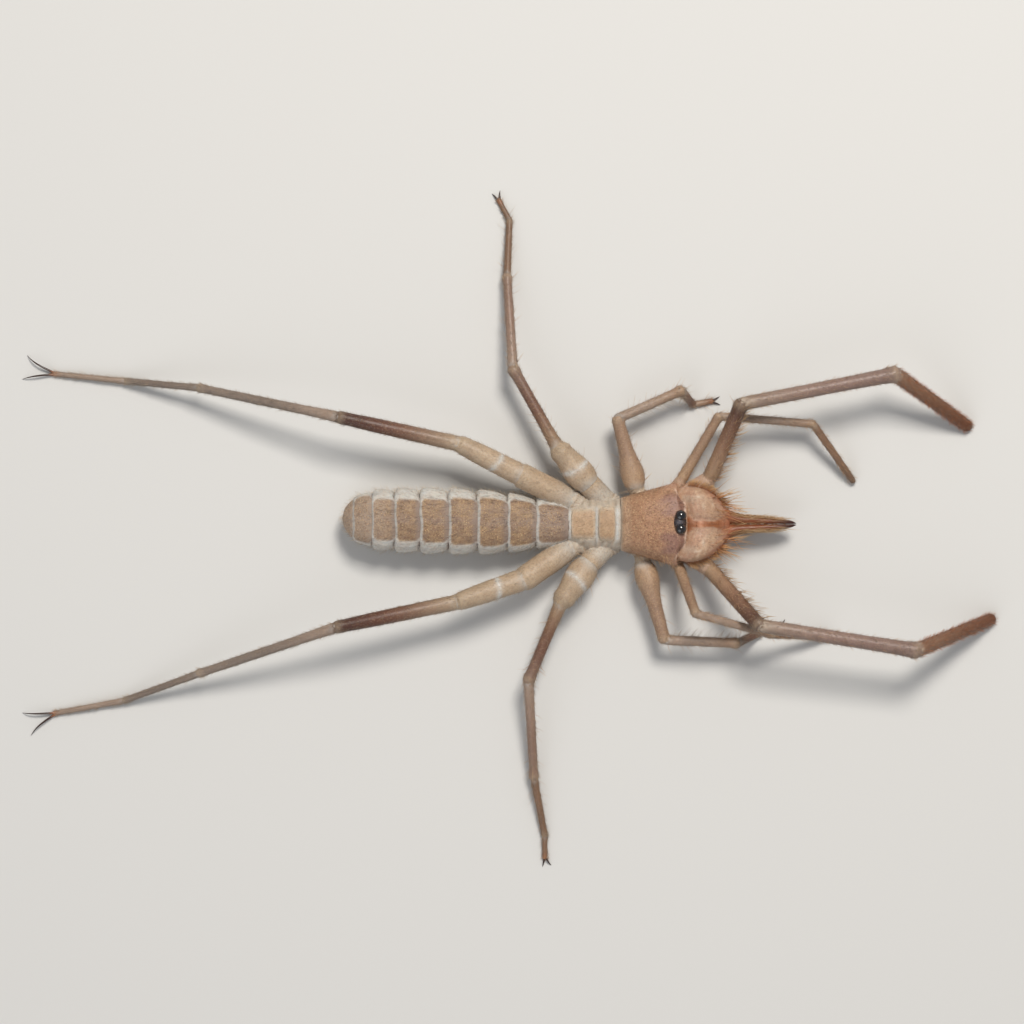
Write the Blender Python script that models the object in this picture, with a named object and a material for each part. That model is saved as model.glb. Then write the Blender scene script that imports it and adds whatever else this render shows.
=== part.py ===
"""A camel spider (solifuge) standing with its legs spread, life-size, as one still figure.

Sizes are in millimetres and become metres in the meshes. +X is the way the animal faces, +Y is
its left side and +Z is up. Everything is laid out from the waist, the middle of the head shield's
rear edge, and at the end the whole is moved so that the middle of its footprint is the origin.
"""
import math
import random

import bmesh
import bpy
from mathutils import Vector

MM = 0.001
GAP = 0.3

# Driving dimensions of the body, along X from the waist
HEAD_LENGTH = 6.5
HEAD_HALF_WIDTH = 4.35
HEAD_REAR_HALF_WIDTH = 2.75
HEAD_FRONT_HALF_WIDTH = 2.3
LOBE_SHARE = 0.86
HEAD_TOP = 6.3
HEAD_EDGE = 3.3
HAND_LENGTH = 4.4
FINGER_TIP = 18.1
THORAX_LENGTH = 5.6
ABDOMEN_LENGTH = 23.3
ABDOMEN_HALF_WIDTH = 3.35
ABDOMEN_HEIGHT = 4.9
ABDOMEN_FLOOR_GAP = 0.7
ABDOMEN_SWING = 1.4
EYE_RADIUS = 0.62
FOOT_RADIUS = 0.26
FOOT_SINK = 0.07
FOOT_SLOPE = -2.5
FOOT_FLAT = 0.45
PALP_TIP_RADIUS = 0.62
PALP_TIP_LEVEL = 0.42
FEELER_TIP_RADIUS = 0.30
FEELER_LIFT = 0.2
EDGE_ALLOWANCE = 1.15

SIDES = {"left": 1, "right": -1}
TUBE_SIDES = 10
BODY_SIDES = 20
BRISTLE_RADIUS = 0.26
BRISTLE_SUNK = 0.5
BRISTLE_BOW = 0.1


def material(name, colour, roughness):
    """A material with a base colour and a roughness."""
    made = bpy.data.materials.new(name)
    made.use_nodes = True
    shader = made.node_tree.nodes["Principled BSDF"]
    shader.inputs["Base Color"].default_value = (*colour, 1)
    shader.inputs["Roughness"].default_value = roughness
    shader.inputs["Metallic"].default_value = 0
    return made


def mesh_object(name, points, faces, finish=None):
    """A mesh from points in millimetres, with its faces turned outwards."""
    mesh = bpy.data.meshes.new(name)
    mesh.from_pydata([Vector(point) * MM for point in points], [], faces)
    work = bmesh.new()
    work.from_mesh(mesh)
    bmesh.ops.recalc_face_normals(work, faces=work.faces)
    if work.calc_volume(signed=True) < 0:
        bmesh.ops.reverse_faces(work, faces=work.faces)
    work.to_mesh(mesh)
    work.free()
    made = bpy.data.objects.new(name, mesh)
    bpy.context.collection.objects.link(made)
    if finish:
        mesh.materials.append(finish)
    return made


def loft(name, rings, finish=None):
    """A closed solid through rings of equal count. A ring of one point makes a pointed end."""
    points, faces, starts = [], [], []
    for ring in rings:
        starts.append(len(points))
        points.extend(ring)
    for here, after, first, second in zip(starts, starts[1:], rings, rings[1:]):
        count = max(len(first), len(second))
        for i in range(count):
            j = (i + 1) % count
            face = [here + i % len(first), here + j % len(first)]
            face += [after + j % len(second), after + i % len(second)]
            faces.append(list(dict.fromkeys(face)))
    for start, ring in ((starts[0], rings[0]), (starts[-1], rings[-1])):
        if len(ring) > 2:
            faces.append([start + i for i in range(len(ring))])
    return mesh_object(name, points, faces, finish)


def heading_vector(heading, rise):
    """A unit vector from a heading in degrees from +X towards +Y and a rise in degrees."""
    flat = math.cos(math.radians(rise))
    turned = math.radians(heading)
    return Vector((flat * math.cos(turned), flat * math.sin(turned), math.sin(math.radians(rise))))


def tube_rings(stations, sides=TUBE_SIDES):
    """Rings round a path of (centre, radius), each in the plane that halves the bend there."""
    centres = [Vector(centre) for centre, _ in stations]
    runs = [(b - a).normalized() for a, b in zip(centres, centres[1:])]
    rings = []
    for k, (centre, radius) in enumerate(stations):
        before = runs[max(k - 1, 0)]
        after = runs[min(k, len(runs) - 1)]
        facing = (before + after).normalized()
        across = Vector((0, 0, 1)).cross(facing).normalized()
        over = facing.cross(across)
        ring = []
        for i in range(sides):
            turn = 2 * math.pi * (i + 0.5) / sides
            point = Vector(centre) + (across * math.cos(turn) + over * math.sin(turn)) * radius
            point.z = max(point.z, 0)
            ring.append(point)
        rings.append(ring)
    return rings


def apply_modifiers(target):
    """Replaces a mesh by what its modifiers make of it."""
    evaluated = target.evaluated_get(bpy.context.evaluated_depsgraph_get())
    mesh = bpy.data.meshes.new_from_object(evaluated)
    target.modifiers.clear()
    old = target.data
    target.data = mesh
    bpy.data.meshes.remove(old)
    keep_largest(target)


def unite(target, others):
    """Joins other closed meshes to target by one union and removes them."""
    group = bpy.data.collections.new("union_parts")
    for other in others:
        group.objects.link(other)
    change = target.modifiers.new("union", "BOOLEAN")
    change.operation = "UNION"
    change.operand_type = "COLLECTION"
    change.collection = group
    apply_modifiers(target)
    for other in others:
        bpy.data.objects.remove(other, do_unlink=True)
    bpy.data.collections.remove(group)


def cut(target, cutter):
    """Cuts a closed mesh from target and removes the cutter."""
    change = target.modifiers.new("cut", "BOOLEAN")
    change.operation = "DIFFERENCE"
    change.object = cutter
    apply_modifiers(target)
    bpy.data.objects.remove(cutter, do_unlink=True)


def cut_clear(target, *neighbours):
    """Cuts target clear of each neighbour by the gap, along the neighbour's own surface."""
    for neighbour in neighbours:
        mesh = neighbour.data.copy()
        for vertex, normal in zip(mesh.vertices, [item.vector.copy() for item in mesh.vertex_normals]):
            vertex.co += normal * GAP * MM * EDGE_ALLOWANCE
        cutter = bpy.data.objects.new("grown_neighbour", mesh)
        bpy.context.collection.objects.link(cutter)
        cut(target, cutter)


def keep_largest(target):
    """Keeps only the largest closed surface of a mesh."""
    work = bmesh.new()
    work.from_mesh(target.data)
    left, islands = set(work.faces), []
    while left:
        island, edge_of = set(), [left.pop()]
        while edge_of:
            face = edge_of.pop()
            island.add(face)
            for edge in face.edges:
                for near in edge.link_faces:
                    if near in left:
                        left.discard(near)
                        edge_of.append(near)
        islands.append(island)
    largest = max(islands, key=lambda island: sum(face.calc_area() for face in island))
    drop = [face for face in work.faces if face not in largest]
    bmesh.ops.delete(work, geom=drop, context="FACES")
    bmesh.ops.dissolve_degenerate(work, dist=1e-7, edges=work.edges)
    work.to_mesh(target.data)
    work.free()


def smoothstep(low, high, value):
    """0 below low, 1 above high, and a smooth rise between."""
    share = min(max((value - low) / (high - low), 0), 1)
    return share * share * (3 - 2 * share)


def bristle(root, direction, length):
    """A tapered bristle rooted inside what it grows from, bent a little forwards."""
    way = direction.normalized()
    across = way.cross(Vector((0, 0, 1))).normalized()
    over = way.cross(across)
    rings = []
    for share, radius in ((0.0, BRISTLE_RADIUS), (0.5, BRISTLE_RADIUS * 0.75)):
        centre = root - way * BRISTLE_SUNK + way * (length + BRISTLE_SUNK) * share
        ring = []
        for i in range(4):
            turn = math.pi / 2 * i
            ring.append(centre + (across * math.cos(turn) + over * math.sin(turn)) * radius)
        rings.append(ring)
    rings.append([root + way * length + Vector((BRISTLE_BOW * length, 0, 0))])
    return loft("bristle", rings)


# Head shield: a dome over a flat underside, wider at the lateral lobes in front
def head_half_width(share):
    """Half width of the shield at a share of its length from the rear edge."""
    widening = min(share / LOBE_SHARE, 1)
    narrowing = max((share - LOBE_SHARE) / (1 - LOBE_SHARE), 0)
    wide = HEAD_REAR_HALF_WIDTH + (HEAD_HALF_WIDTH - HEAD_REAR_HALF_WIDTH) * widening
    return wide + (HEAD_FRONT_HALF_WIDTH - HEAD_HALF_WIDTH) * narrowing**1.6


def head_rings():
    """Rings of the head shield from rear to front."""
    rings = []
    for share in (0.0, 0.05, 0.15, 0.3, 0.45, 0.6, 0.74, LOBE_SHARE, 0.91, 0.96, 1.0):
        x = share * HEAD_LENGTH
        half = head_half_width(share)
        dome = HEAD_TOP - HEAD_EDGE - 0.9 * (1 - smoothstep(0, 0.4, share))
        dome -= 0.75 * smoothstep(0.86, 1.0, share)
        ring = []
        for i in range(BODY_SIDES // 2 + 1):
            turn = math.pi * i / (BODY_SIDES // 2)
            side = math.copysign(abs(math.cos(turn)) ** 0.8, math.cos(turn))
            lift = math.sin(turn) ** 0.75
            ring.append(Vector((x, half * side, HEAD_EDGE + dome * lift)))
        rings.append(ring)
    return rings


TUBERCLE = Vector((5.75, 0.15, 5.85))
TUBERCLE_SIZE = Vector((0.95, 1.3, 0.75))
EYE_SPREAD = 0.72
EYE_LEAN = 38
EYE_FORWARD = 18


def ball_rings(centre, size, sides=12, levels=6):
    """Rings of an ellipsoid stacked in Z, with its two poles."""
    rings = [[centre - Vector((0, 0, size.z))]]
    for level in range(1, levels):
        lift = -math.pi / 2 + math.pi * level / levels
        ring = []
        for i in range(sides):
            turn = 2 * math.pi * i / sides
            flat = math.cos(lift)
            offset = (size.x * flat * math.cos(turn), size.y * flat * math.sin(turn), size.z * math.sin(lift))
            ring.append(centre + Vector(offset))
        rings.append(ring)
    rings.append([centre + Vector((0, 0, size.z))])
    return rings


def eye_place(side):
    """Centre of an eye and the way it looks, out, up and a little forward."""
    centre = TUBERCLE + Vector((0.2, side * EYE_SPREAD, 0.3))
    look = Vector((math.sin(math.radians(EYE_FORWARD)), side * math.sin(math.radians(EYE_LEAN)), 0.75))
    return centre, look.normalized()


def eye_rings(side):
    """Rings of an eye: a ball whose back is cut flat."""
    centre, look = eye_place(side)
    across = look.cross(Vector((1, 0, 0))).normalized()
    over = look.cross(across)
    rings = []
    for level in (-0.35, 0.0, 0.35, 0.65, 0.88, 0.98):
        around = math.sqrt(1 - level * level)
        ring = []
        for i in range(12):
            turn = 2 * math.pi * i / 12
            offset = across * math.cos(turn) + over * math.sin(turn)
            ring.append(centre + (look * level + offset * around) * EYE_RADIUS)
        rings.append(ring)
    return rings


# Chest: the coxal mass under the head and thorax plates, which carries every leg
CHEST_TOP = HEAD_EDGE - GAP
CHEST_FLOOR = 1.0


CHEST_SECTION = ((0.95, 1), (1, 0.6), (0.8, 0.18), (0.4, 0))
CHEST_WIDTHS = ((-5.45, 1.9), (-4.2, 2.35), (-2.4, 2.45), (0.0, 2.6), (2.6, 3.3), (4.6, 3.2), (6.0, 2.4))


def chest_rings():
    """Rings of the chest from rear to front."""
    outline = list(CHEST_SECTION) + [(-across, up) for across, up in reversed(CHEST_SECTION)]
    rings = []
    for x, half in CHEST_WIDTHS:
        ring = []
        for across, up in outline:
            ring.append(Vector((x, across * half, CHEST_FLOOR + (CHEST_TOP - CHEST_FLOOR) * up)))
        rings.append(ring)
    return rings


# Thorax plates: two short arched plates between the head shield and the abdomen
def plate_rings(front, rear, half_front, half_rear, top):
    """Rings of an arched plate that sits on the chest, from rear to front."""
    rings = []
    for share in (0.0, 0.12, 0.5, 0.88, 1.0):
        x = rear + (front - rear) * share
        half = half_rear + (half_front - half_rear) * share
        crown = top - 0.35 * (1 if share in (0.0, 1.0) else 0)
        ring = []
        for i in range(9):
            turn = math.pi * i / 8
            side = math.copysign(abs(math.cos(turn)) ** 0.7, math.cos(turn))
            z = HEAD_EDGE + (crown - HEAD_EDGE) * math.sin(turn) ** 0.6
            ring.append(Vector((x, half * side, z)))
        rings.append(ring)
    return rings


# Abdomen: ringed segments, each bulging at the sides, with a raised plate along the back
ABDOMEN_SHARES = (0.0, 0.142, 0.268, 0.402, 0.528, 0.654, 0.766, 0.866, 0.953, 1.0)


def abdomen_width(share):
    """Half width of the abdomen at a share of its length from the waist."""
    swell = 1.75 + (ABDOMEN_HALF_WIDTH - 1.75) * smoothstep(-0.06, 0.3, share)
    return swell * math.sqrt(max(1 - max((share - 0.72) / 0.33, 0) ** 2.4, 0.0))


def abdomen_ring(share, pinch):
    """One ring of the abdomen, drawn in by pinch at a joint between segments."""
    half = abdomen_width(share) * (1 - pinch)
    low = ABDOMEN_FLOOR_GAP + 1.1 * smoothstep(0.75, 1.0, share) + 0.5 * (1 - smoothstep(0, 0.2, share))
    tall = ABDOMEN_HEIGHT * (0.72 + 0.28 * smoothstep(0, 0.3, share))
    tall *= math.sqrt(max(1 - max((share - 0.7) / 0.36, 0) ** 2.4, 0.0)) * (1 - pinch)
    middle = low + tall / 2
    x = -THORAX_LENGTH - GAP - share * ABDOMEN_LENGTH
    y = share * ABDOMEN_LENGTH * math.tan(math.radians(ABDOMEN_SWING))
    ring = []
    for i in range(BODY_SIDES):
        turn = 2 * math.pi * (i + 0.5) / BODY_SIDES
        side = math.copysign(abs(math.cos(turn)) ** 0.85, math.cos(turn))
        lift = math.copysign(abs(math.sin(turn)) ** 0.85, math.sin(turn))
        on_plate = lift > 0 and abs(side) < 0.8
        raised = 1.03 if on_plate else 0.97 if lift > 0 else 1.0
        ring.append(Vector((x, y + half * side * raised, middle + tall / 2 * lift * raised)))
    return ring


def abdomen_rings(index):
    """Rings of one abdomen segment, its two ends drawn back by half the gap."""
    front, rear = ABDOMEN_SHARES[index], ABDOMEN_SHARES[index + 1]
    back_off = GAP / 2 / ABDOMEN_LENGTH
    ends = (front + back_off, rear - back_off)
    rings = []
    for part, pinch in ((0.0, 0.07), (0.15, 0.02), (0.5, 0.0), (0.85, 0.02), (1.0, 0.07)):
        share = ends[0] + (ends[1] - ends[0]) * part
        rings.append(abdomen_ring(share, pinch))
    return rings


# Chelicerae: a bulging hand with a long straight upper finger, and a lower finger that moves
HAND_BACK = HEAD_LENGTH - 0.9
HAND_STATIONS = (
    (0.0, 1.98, 1.80, 3.95, 2.05),
    (0.12, 2.02, 1.96, 3.95, 2.30),
    (0.35, 1.98, 1.93, 3.90, 2.30),
    (0.55, 1.80, 1.74, 3.80, 2.10),
    (0.72, 1.48, 1.42, 3.70, 1.75),
    (0.86, 1.12, 1.04, 3.55, 1.25),
    (1.0, 0.82, 0.70, 3.45, 0.75),
)
FINGER_STATIONS = (
    (0.25, 0.62, 0.58, 3.32, 0.55),
    (0.6, 0.46, 0.42, 3.10, 0.42),
    (0.93, 0.32, 0.26, 2.86, 0.25),
)


# Rows of bristles: share of the hand, how many, lowest and highest turn, forward lean, length
BRISTLE_ROWS = (
    (0.64, 4, -45, 20, 1.3, 1.3),
    (0.80, 6, -40, 80, 2.0, 2.4),
    (0.95, 5, -30, 85, 2.8, 2.8),
)


def hand_section(share):
    """Middle, half width, height and half height of a hand at a share of its length."""
    for first, second in zip(HAND_STATIONS, HAND_STATIONS[1:]):
        if share <= second[0]:
            part = (share - first[0]) / (second[0] - first[0])
            return [a + (b - a) * part for a, b in zip(first[1:], second[1:])]
    return list(HAND_STATIONS[-1][1:])


def hand_bristles(side, chance):
    """The fan of bristles round the front of a hand, on its outer and upper faces."""
    bristles = []
    for share, count, lowest, highest, forward, length in BRISTLE_ROWS:
        middle, half, z, tall = hand_section(share)
        x = HAND_BACK + (HEAD_LENGTH + HAND_LENGTH - HAND_BACK) * share
        for i in range(count):
            turn = math.radians(lowest + (highest - lowest) * i / (count - 1) + chance.uniform(-4, 4))
            root = Vector((x, side * (middle + half * math.cos(turn)), z + tall * math.sin(turn)))
            way = Vector((forward, side * math.cos(turn), math.sin(turn)))
            bristles.append(bristle(root, way, length * chance.uniform(0.85, 1.12)))
    return bristles


def cheliceral_ring(x, side, middle, half, z, tall, sides=12):
    """An oval ring of a chelicera, kept clear of its neighbour across the midline."""
    ring = []
    for i in range(sides):
        turn = 2 * math.pi * (i + 0.5) / sides
        y = max(middle + half * math.cos(turn), GAP / 2)
        ring.append(Vector((x, side * y, z + tall * math.sin(turn))))
    return ring


def chelicera_rings(side):
    """Rings of a hand with its fixed upper finger, from the head to the finger's tip."""
    front = HEAD_LENGTH + HAND_LENGTH
    rings = []
    for share, middle, half, z, tall in HAND_STATIONS:
        x = HAND_BACK + (front - HAND_BACK) * share
        rings.append(cheliceral_ring(x, side, middle, half, z, tall))
    for share, middle, half, z, tall in FINGER_STATIONS:
        x = front + (FINGER_TIP - front) * share
        rings.append(cheliceral_ring(x, side, middle, half, z, tall))
    rings.append([Vector((FINGER_TIP, side * 0.25, 2.72))])
    return rings


def moving_finger_rings(side):
    """Rings of the lower finger, hung under the front of the hand and curved up to its tip."""
    root = HEAD_LENGTH + 0.56 * HAND_LENGTH
    length = FINGER_TIP - 0.5 - root
    rings = []
    for share, middle, half, z, tall in (
        (0.0, 1.15, 0.62, 1.55, 0.55),
        (0.15, 1.05, 0.66, 1.55, 0.60),
        (0.4, 0.72, 0.50, 1.85, 0.48),
        (0.7, 0.46, 0.36, 2.02, 0.36),
        (0.92, 0.34, 0.25, 2.18, 0.22),
    ):
        rings.append(cheliceral_ring(root + length * share, side, middle, half, z, tall, 10))
    rings.append([Vector((root + length, side * 0.27, 2.28))])
    return rings


# Legs: lengths and widths are shared by both sides; headings (degrees, outward) and rises are the pose
class Leg:
    """A leg from its root on the chest to its tip.

    runs holds a length and the half widths at the start and middle of each stretch.
    nodes names the solids and the run at which each starts.
    """

    def __init__(self, name, root, runs, tip_radius, tip_level, nodes, pose, reach, claws=0.0):
        self.name = name
        self.root = root
        self.runs = runs
        self.tip_radius = tip_radius
        self.tip_level = tip_level
        self.nodes = nodes
        self.pose = pose
        self.reach = reach
        self.claws = claws

    def joints(self, side_name):
        """The joints of this leg on one side. The run with no rise brings the tip to its level."""
        side = SIDES[side_name]
        lengths = [length * self.reach[side_name] for length, _, _ in self.runs]
        pose = self.pose[side_name]
        joints = [Vector((self.root[0], side * self.root[1], self.root[2]))]
        for run, (length, (heading, rise)) in enumerate(zip(lengths, pose)):
            if rise is None:
                later = zip(lengths[run + 1 :], pose[run + 1 :])
                drop = self.tip_level - sum(far * math.sin(math.radians(up)) for far, (_, up) in later)
                rise = math.degrees(math.asin((drop - joints[-1].z) / length))
            joints.append(joints[-1] + heading_vector(side * heading, rise) * length)
        return joints

    def node_rings(self, side_name, index):
        """Rings of one solid of the leg, drawn back by half the gap at each of its two ends."""
        joints = self.joints(side_name)
        starts = [start for _, start in self.nodes] + [len(self.runs)]
        first, last = starts[index], starts[index + 1]
        radii = [start for _, start, _ in self.runs] + [self.tip_radius]
        stations = []
        for run in range(first, last):
            begin, end = joints[run], joints[run + 1]
            middle = self.runs[run][2]
            for share in (0.0, 0.18, 0.5, 0.82):
                if share == 0.0:
                    radius = radii[run]
                elif share == 0.18:
                    radius = radii[run] * 0.35 + middle * 0.65
                elif share == 0.5:
                    radius = middle
                else:
                    radius = radii[run + 1] * 0.35 + middle * 0.65
                stations.append((begin.lerp(end, share), radius))
        along = (joints[last] - joints[last - 1]).normalized()
        if last == len(self.runs) and self.claws:
            sole = joints[last] - along * FOOT_FLAT
            stations.append((Vector((sole.x, sole.y, joints[last].z)), radii[last]))
        stations.append((joints[last], radii[last]))
        if last == len(self.runs) and not self.claws:
            for share, narrowing in ((0.45, 0.86), (0.8, 0.5)):
                stations.append((joints[last] + along * self.tip_radius * share, self.tip_radius * narrowing))
        bend_before = joints[first] - joints[first - 1] if first else joints[1] - joints[0]
        bend_after = joints[last + 1] - joints[last] if last < len(self.runs) else None
        return self.cut_ends(stations, bend_before, bend_after, first > 0)

    @staticmethod
    def cut_ends(stations, bend_before, bend_after, draw_back_start):
        """Rings of a tube whose end faces lie in the planes that halve the bends at its joints."""
        start_run = (stations[1][0] - stations[0][0]).normalized()
        end_run = (stations[-1][0] - stations[-2][0]).normalized()
        guides = [(stations[0][0] - bend_before.normalized(), 1.0)]
        guides += stations
        guides.append((stations[-1][0] + (bend_after.normalized() if bend_after else end_run), 1.0))
        rings = tube_rings(guides)[1:-1]
        if draw_back_start:
            plane = (start_run + bend_before.normalized()).normalized()
            rings[0] = [point + start_run * (GAP / 2 / start_run.dot(plane)) for point in rings[0]]
        if bend_after:
            plane = (end_run + bend_after.normalized()).normalized()
            rings[-1] = [point - end_run * (GAP / 2 / end_run.dot(plane)) for point in rings[-1]]
        return rings


PEDIPALP = Leg(
    "pedipalp",
    (5.4, 2.3, 2.3),
    ((2.5, 0.85, 0.85), (1.9, 0.85, 0.82), (9.9, 0.80, 0.76), (15.9, 0.70, 0.70), (11.1, 0.84, 0.74)),
    PALP_TIP_RADIUS,
    PALP_TIP_LEVEL,
    (("femur", 0), ("tibia", 3), ("tarsus", 4)),
    {
        "left": ((36, 0), (29, 21), (65, 29.8), (11.1, -5.2), (-34.4, None)),
        "right": ((34, 0), (20, 24), (49.3, 31.1), (9.2, -5.0), (-16.7, None)),
    },
    {"left": 1.0, "right": 1.0},
)
LEG_1 = Leg(
    "leg_1",
    (4.4, 2.5, 2.2),
    ((2.4, 0.60, 0.60), (7.6, 0.60, 0.52), (9.4, 0.44, 0.41), (7.4, 0.40, 0.37)),
    FEELER_TIP_RADIUS,
    FEELER_TIP_RADIUS + FEELER_LIFT,
    (("femur", 0), ("tibia", 2), ("tarsus", 3)),
    {
        "left": ((50, 10), (59.6, 7), (-4.6, -3.0), (-53.5, None)),
        "right": ((52, 8), (71.5, 41), (15.3, -22.0), (6.9, None)),
    },
    {"left": 1.05, "right": 0.96},
)
LEG_2 = Leg(
    "leg_2",
    (2.1, 2.2, 2.3),
    ((3.4, 0.80, 1.02), (6.3, 0.98, 0.68), (7.1, 0.53, 0.50), (3.6, 0.50, 0.40), (2.1, 0.36, 0.31)),
    FOOT_RADIUS,
    FOOT_RADIUS - FOOT_SINK,
    (("base", 0), ("femur", 1), ("tibia", 2), ("foot", 3)),
    {
        "left": ((106.3, 8), (108, 7), (26.6, -3.0), (-42.3, None), (9.3, FOOT_SLOPE)),
        "right": ((83, 8), (75.1, 5), (2.5, -1.6), (-21.4, None), (-15.5, FOOT_SLOPE)),
    },
    {"left": 0.97, "right": 1.07},
    claws=0.95,
)
LEG_3 = Leg(
    "leg_3",
    (-1.5, 2.1, 2.3),
    (
        (3.8, 1.0, 1.13),
        (3.6, 1.08, 0.92),
        (9.2, 0.84, 0.66),
        (10.5, 0.58, 0.48),
        (6.1, 0.42, 0.35),
        (2.6, 0.30, 0.27),
    ),
    FOOT_RADIUS,
    FOOT_RADIUS - FOOT_SINK,
    (("base", 0), ("femur", 2), ("tibia", 3), ("foot", 4)),
    {
        "left": ((130.9, 13.5), (138.5, 12), (118.9, -2.5), (94.9, -13.4), (88.9, None), (107.3, FOOT_SLOPE)),
        "right": ((125.5, 13.5), (139.5, 12), (113.4, -2.5), (88.0, -13.4), (80.3, None), (90.0, FOOT_SLOPE)),
    },
    {"left": 0.99, "right": 1.01},
    claws=1.0,
)
LEG_4 = Leg(
    "leg_4",
    (-4.2, 1.7, 2.3),
    (
        (2.9, 1.05, 1.25),
        (4.6, 1.25, 1.18),
        (6.0, 1.08, 1.02),
        (13.9, 0.92, 0.72),
        (15.6, 0.58, 0.46),
        (8.2, 0.40, 0.34),
        (7.6, 0.32, 0.27),
    ),
    FOOT_RADIUS,
    FOOT_RADIUS - FOOT_SINK,
    (("base", 0), ("thigh", 2), ("femur", 3), ("tibia", 4), ("foot", 5)),
    {
        "left": (
            (148.5, 16),
            (154.5, 15.5),
            (154.9, 9.6),
            (165.5, 4.8),
            (168.0, -13.3),
            (174.3, None),
            (174.2, FOOT_SLOPE),
        ),
        "right": (
            (152.5, 16),
            (143, 15.5),
            (160.2, 9.6),
            (168.0, 4.8),
            (161.2, -13.3),
            (160.0, None),
            (169.6, FOOT_SLOPE),
        ),
    },
    {"left": 1.0, "right": 1.01},
    claws=3.4,
)
LEGS = (PEDIPALP, LEG_1, LEG_2, LEG_3, LEG_4)
CLAW_HALF_SPREAD = 20
CLAW_RADIUS = 0.2


def claw(leg, joints, spread):
    """One long curved claw that grows out of a foot's tip."""
    along = (joints[-1] - joints[-2]).normalized()
    along.z = 0
    along.normalize()
    turned = heading_vector(math.degrees(math.atan2(along.y, along.x)) + spread, 0)
    start = joints[-1] - along * 0.35
    stations = []
    for share, thinning in ((0.0, 1.0), (0.35, 0.9), (0.7, 0.65), (1.0, 0.25)):
        radius = CLAW_RADIUS * thinning
        bow = along * 0.35 * math.sin(math.pi * share) * leg.claws * 0.4
        lift = 0.35 * leg.claws * math.sin(math.pi * share) * 0.35
        point = start + turned * (leg.claws + 0.35) * share + bow
        point.z = max(start.z * (1 - share) + lift + radius * share, radius)
        stations.append((point, radius))
    return loft("claw", tube_rings(stations, 5))


PALP_BRISTLES = 8
PALP_BRISTLE_LENGTH = 1.5
RACKETS = 5
RACKET_START = 2.2
RACKET_SPACING = 1.2
RACKET_HALF_THICKNESS = 0.25
RACKET_DROPS = ((0.7, 0.25), (2.25, 0.42))


def palp_bristles(side_name, chance):
    """A loose row of bristles along the front face of a pedipalp's femur."""
    joints = PEDIPALP.joints(side_name)
    start, end = joints[2], joints[3]
    run = (end - start).normalized()
    radius = PEDIPALP.runs[2][2]
    front = Vector((abs(run.y), -math.copysign(run.x, run.y), 0)).normalized()
    bristles = []
    for i in range(PALP_BRISTLES):
        share = 0.06 + 0.84 * i / (PALP_BRISTLES - 1)
        way = (front + Vector((0, 0, 0.45 if i % 2 else -0.25)) + run * 0.2).normalized()
        root = start.lerp(end, share) + way * radius * 0.9
        bristles.append(bristle(root, way, PALP_BRISTLE_LENGTH * chance.uniform(0.85, 1.15)))
    return bristles


def racket_organs(side_name):
    """The five small fans that hang under the base of a fourth leg."""
    joints = LEG_4.joints(side_name)
    first_length = (joints[1] - joints[0]).length
    organs = []
    for i in range(RACKETS):
        along = RACKET_START + RACKET_SPACING * i
        if along < first_length:
            start, end, far = joints[0], joints[1], along
        else:
            start, end, far = joints[1], joints[2], along - first_length
        run = (end - start).normalized()
        place = start + run * far
        level = Vector((run.x, run.y, 0)).normalized()
        across = Vector((-level.y, level.x, 0)) * RACKET_HALF_THICKNESS
        rings = []
        for drop, half in RACKET_DROPS:
            centre = place - Vector((0, 0, drop))
            long = level * half
            rings.append([centre + long + across, centre - long + across])
            rings[-1] += [centre - long - across, centre + long - across]
        organs.append(loft("racket_organ", rings))
    return organs


def leg_solids(leg, side_name, finish):
    """All the solids of one leg on one side, from its root to its tip."""
    solids = []
    for index, (part, _) in enumerate(leg.nodes):
        solids.append(loft(f"{leg.name}_{side_name}_{part}", leg.node_rings(side_name, index), finish))
    if leg.claws:
        joints = leg.joints(side_name)
        unite(solids[-1], [claw(leg, joints, spread) for spread in (-CLAW_HALF_SPREAD, CLAW_HALF_SPREAD)])
    return solids


def main():
    for old in list(bpy.data.objects):
        bpy.data.objects.remove(old, do_unlink=True)
    tan = material("tan_shell", (0.40, 0.26, 0.17), 0.55)
    cream = material("cream_membrane", (0.52, 0.46, 0.36), 0.6)
    maroon = material("maroon_shell", (0.16, 0.07, 0.05), 0.4)
    black = material("eye_black", (0.01, 0.01, 0.012), 0.08)

    chest = loft("chest", chest_rings(), cream)
    head = loft("head_shield", head_rings(), tan)
    loft("neck_plate", plate_rings(-GAP, -2.55, 2.05, 1.75, 5.1), tan)
    rear_plate = loft("rear_plate", plate_rings(-2.55 - GAP, -THORAX_LENGTH + 0.15, 1.75, 1.6, 4.9), tan)
    abdomen = []
    for index in range(len(ABDOMEN_SHARES) - 1):
        abdomen.append(loft(f"abdomen_{index + 1}", abdomen_rings(index), tan))

    chance = random.Random(17)
    eyes = [loft(f"eye_{side_name}", eye_rings(side), black) for side_name, side in SIDES.items()]
    for side_name, side in SIDES.items():
        hand = loft(f"chelicera_{side_name}", chelicera_rings(side), maroon)
        cut_clear(hand, head, chest, *eyes)
        finger = loft(f"lower_finger_{side_name}", moving_finger_rings(side), maroon)
        cut_clear(finger, hand)
        body = [chest, head, hand, rear_plate, abdomen[0]]
        for leg in LEGS:
            base = leg_solids(leg, side_name, tan)[0]
            cut_clear(base, *body)
            body.append(base)
            if leg is PEDIPALP:
                unite(base, palp_bristles(side_name, chance))
            if leg is LEG_4:
                unite(base, racket_organs(side_name))
        unite(hand, hand_bristles(side, chance))

    unite(head, [loft("tubercle", ball_rings(TUBERCLE, TUBERCLE_SIZE))])
    cut_clear(head, *eyes)
    centre_on_floor()


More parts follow.
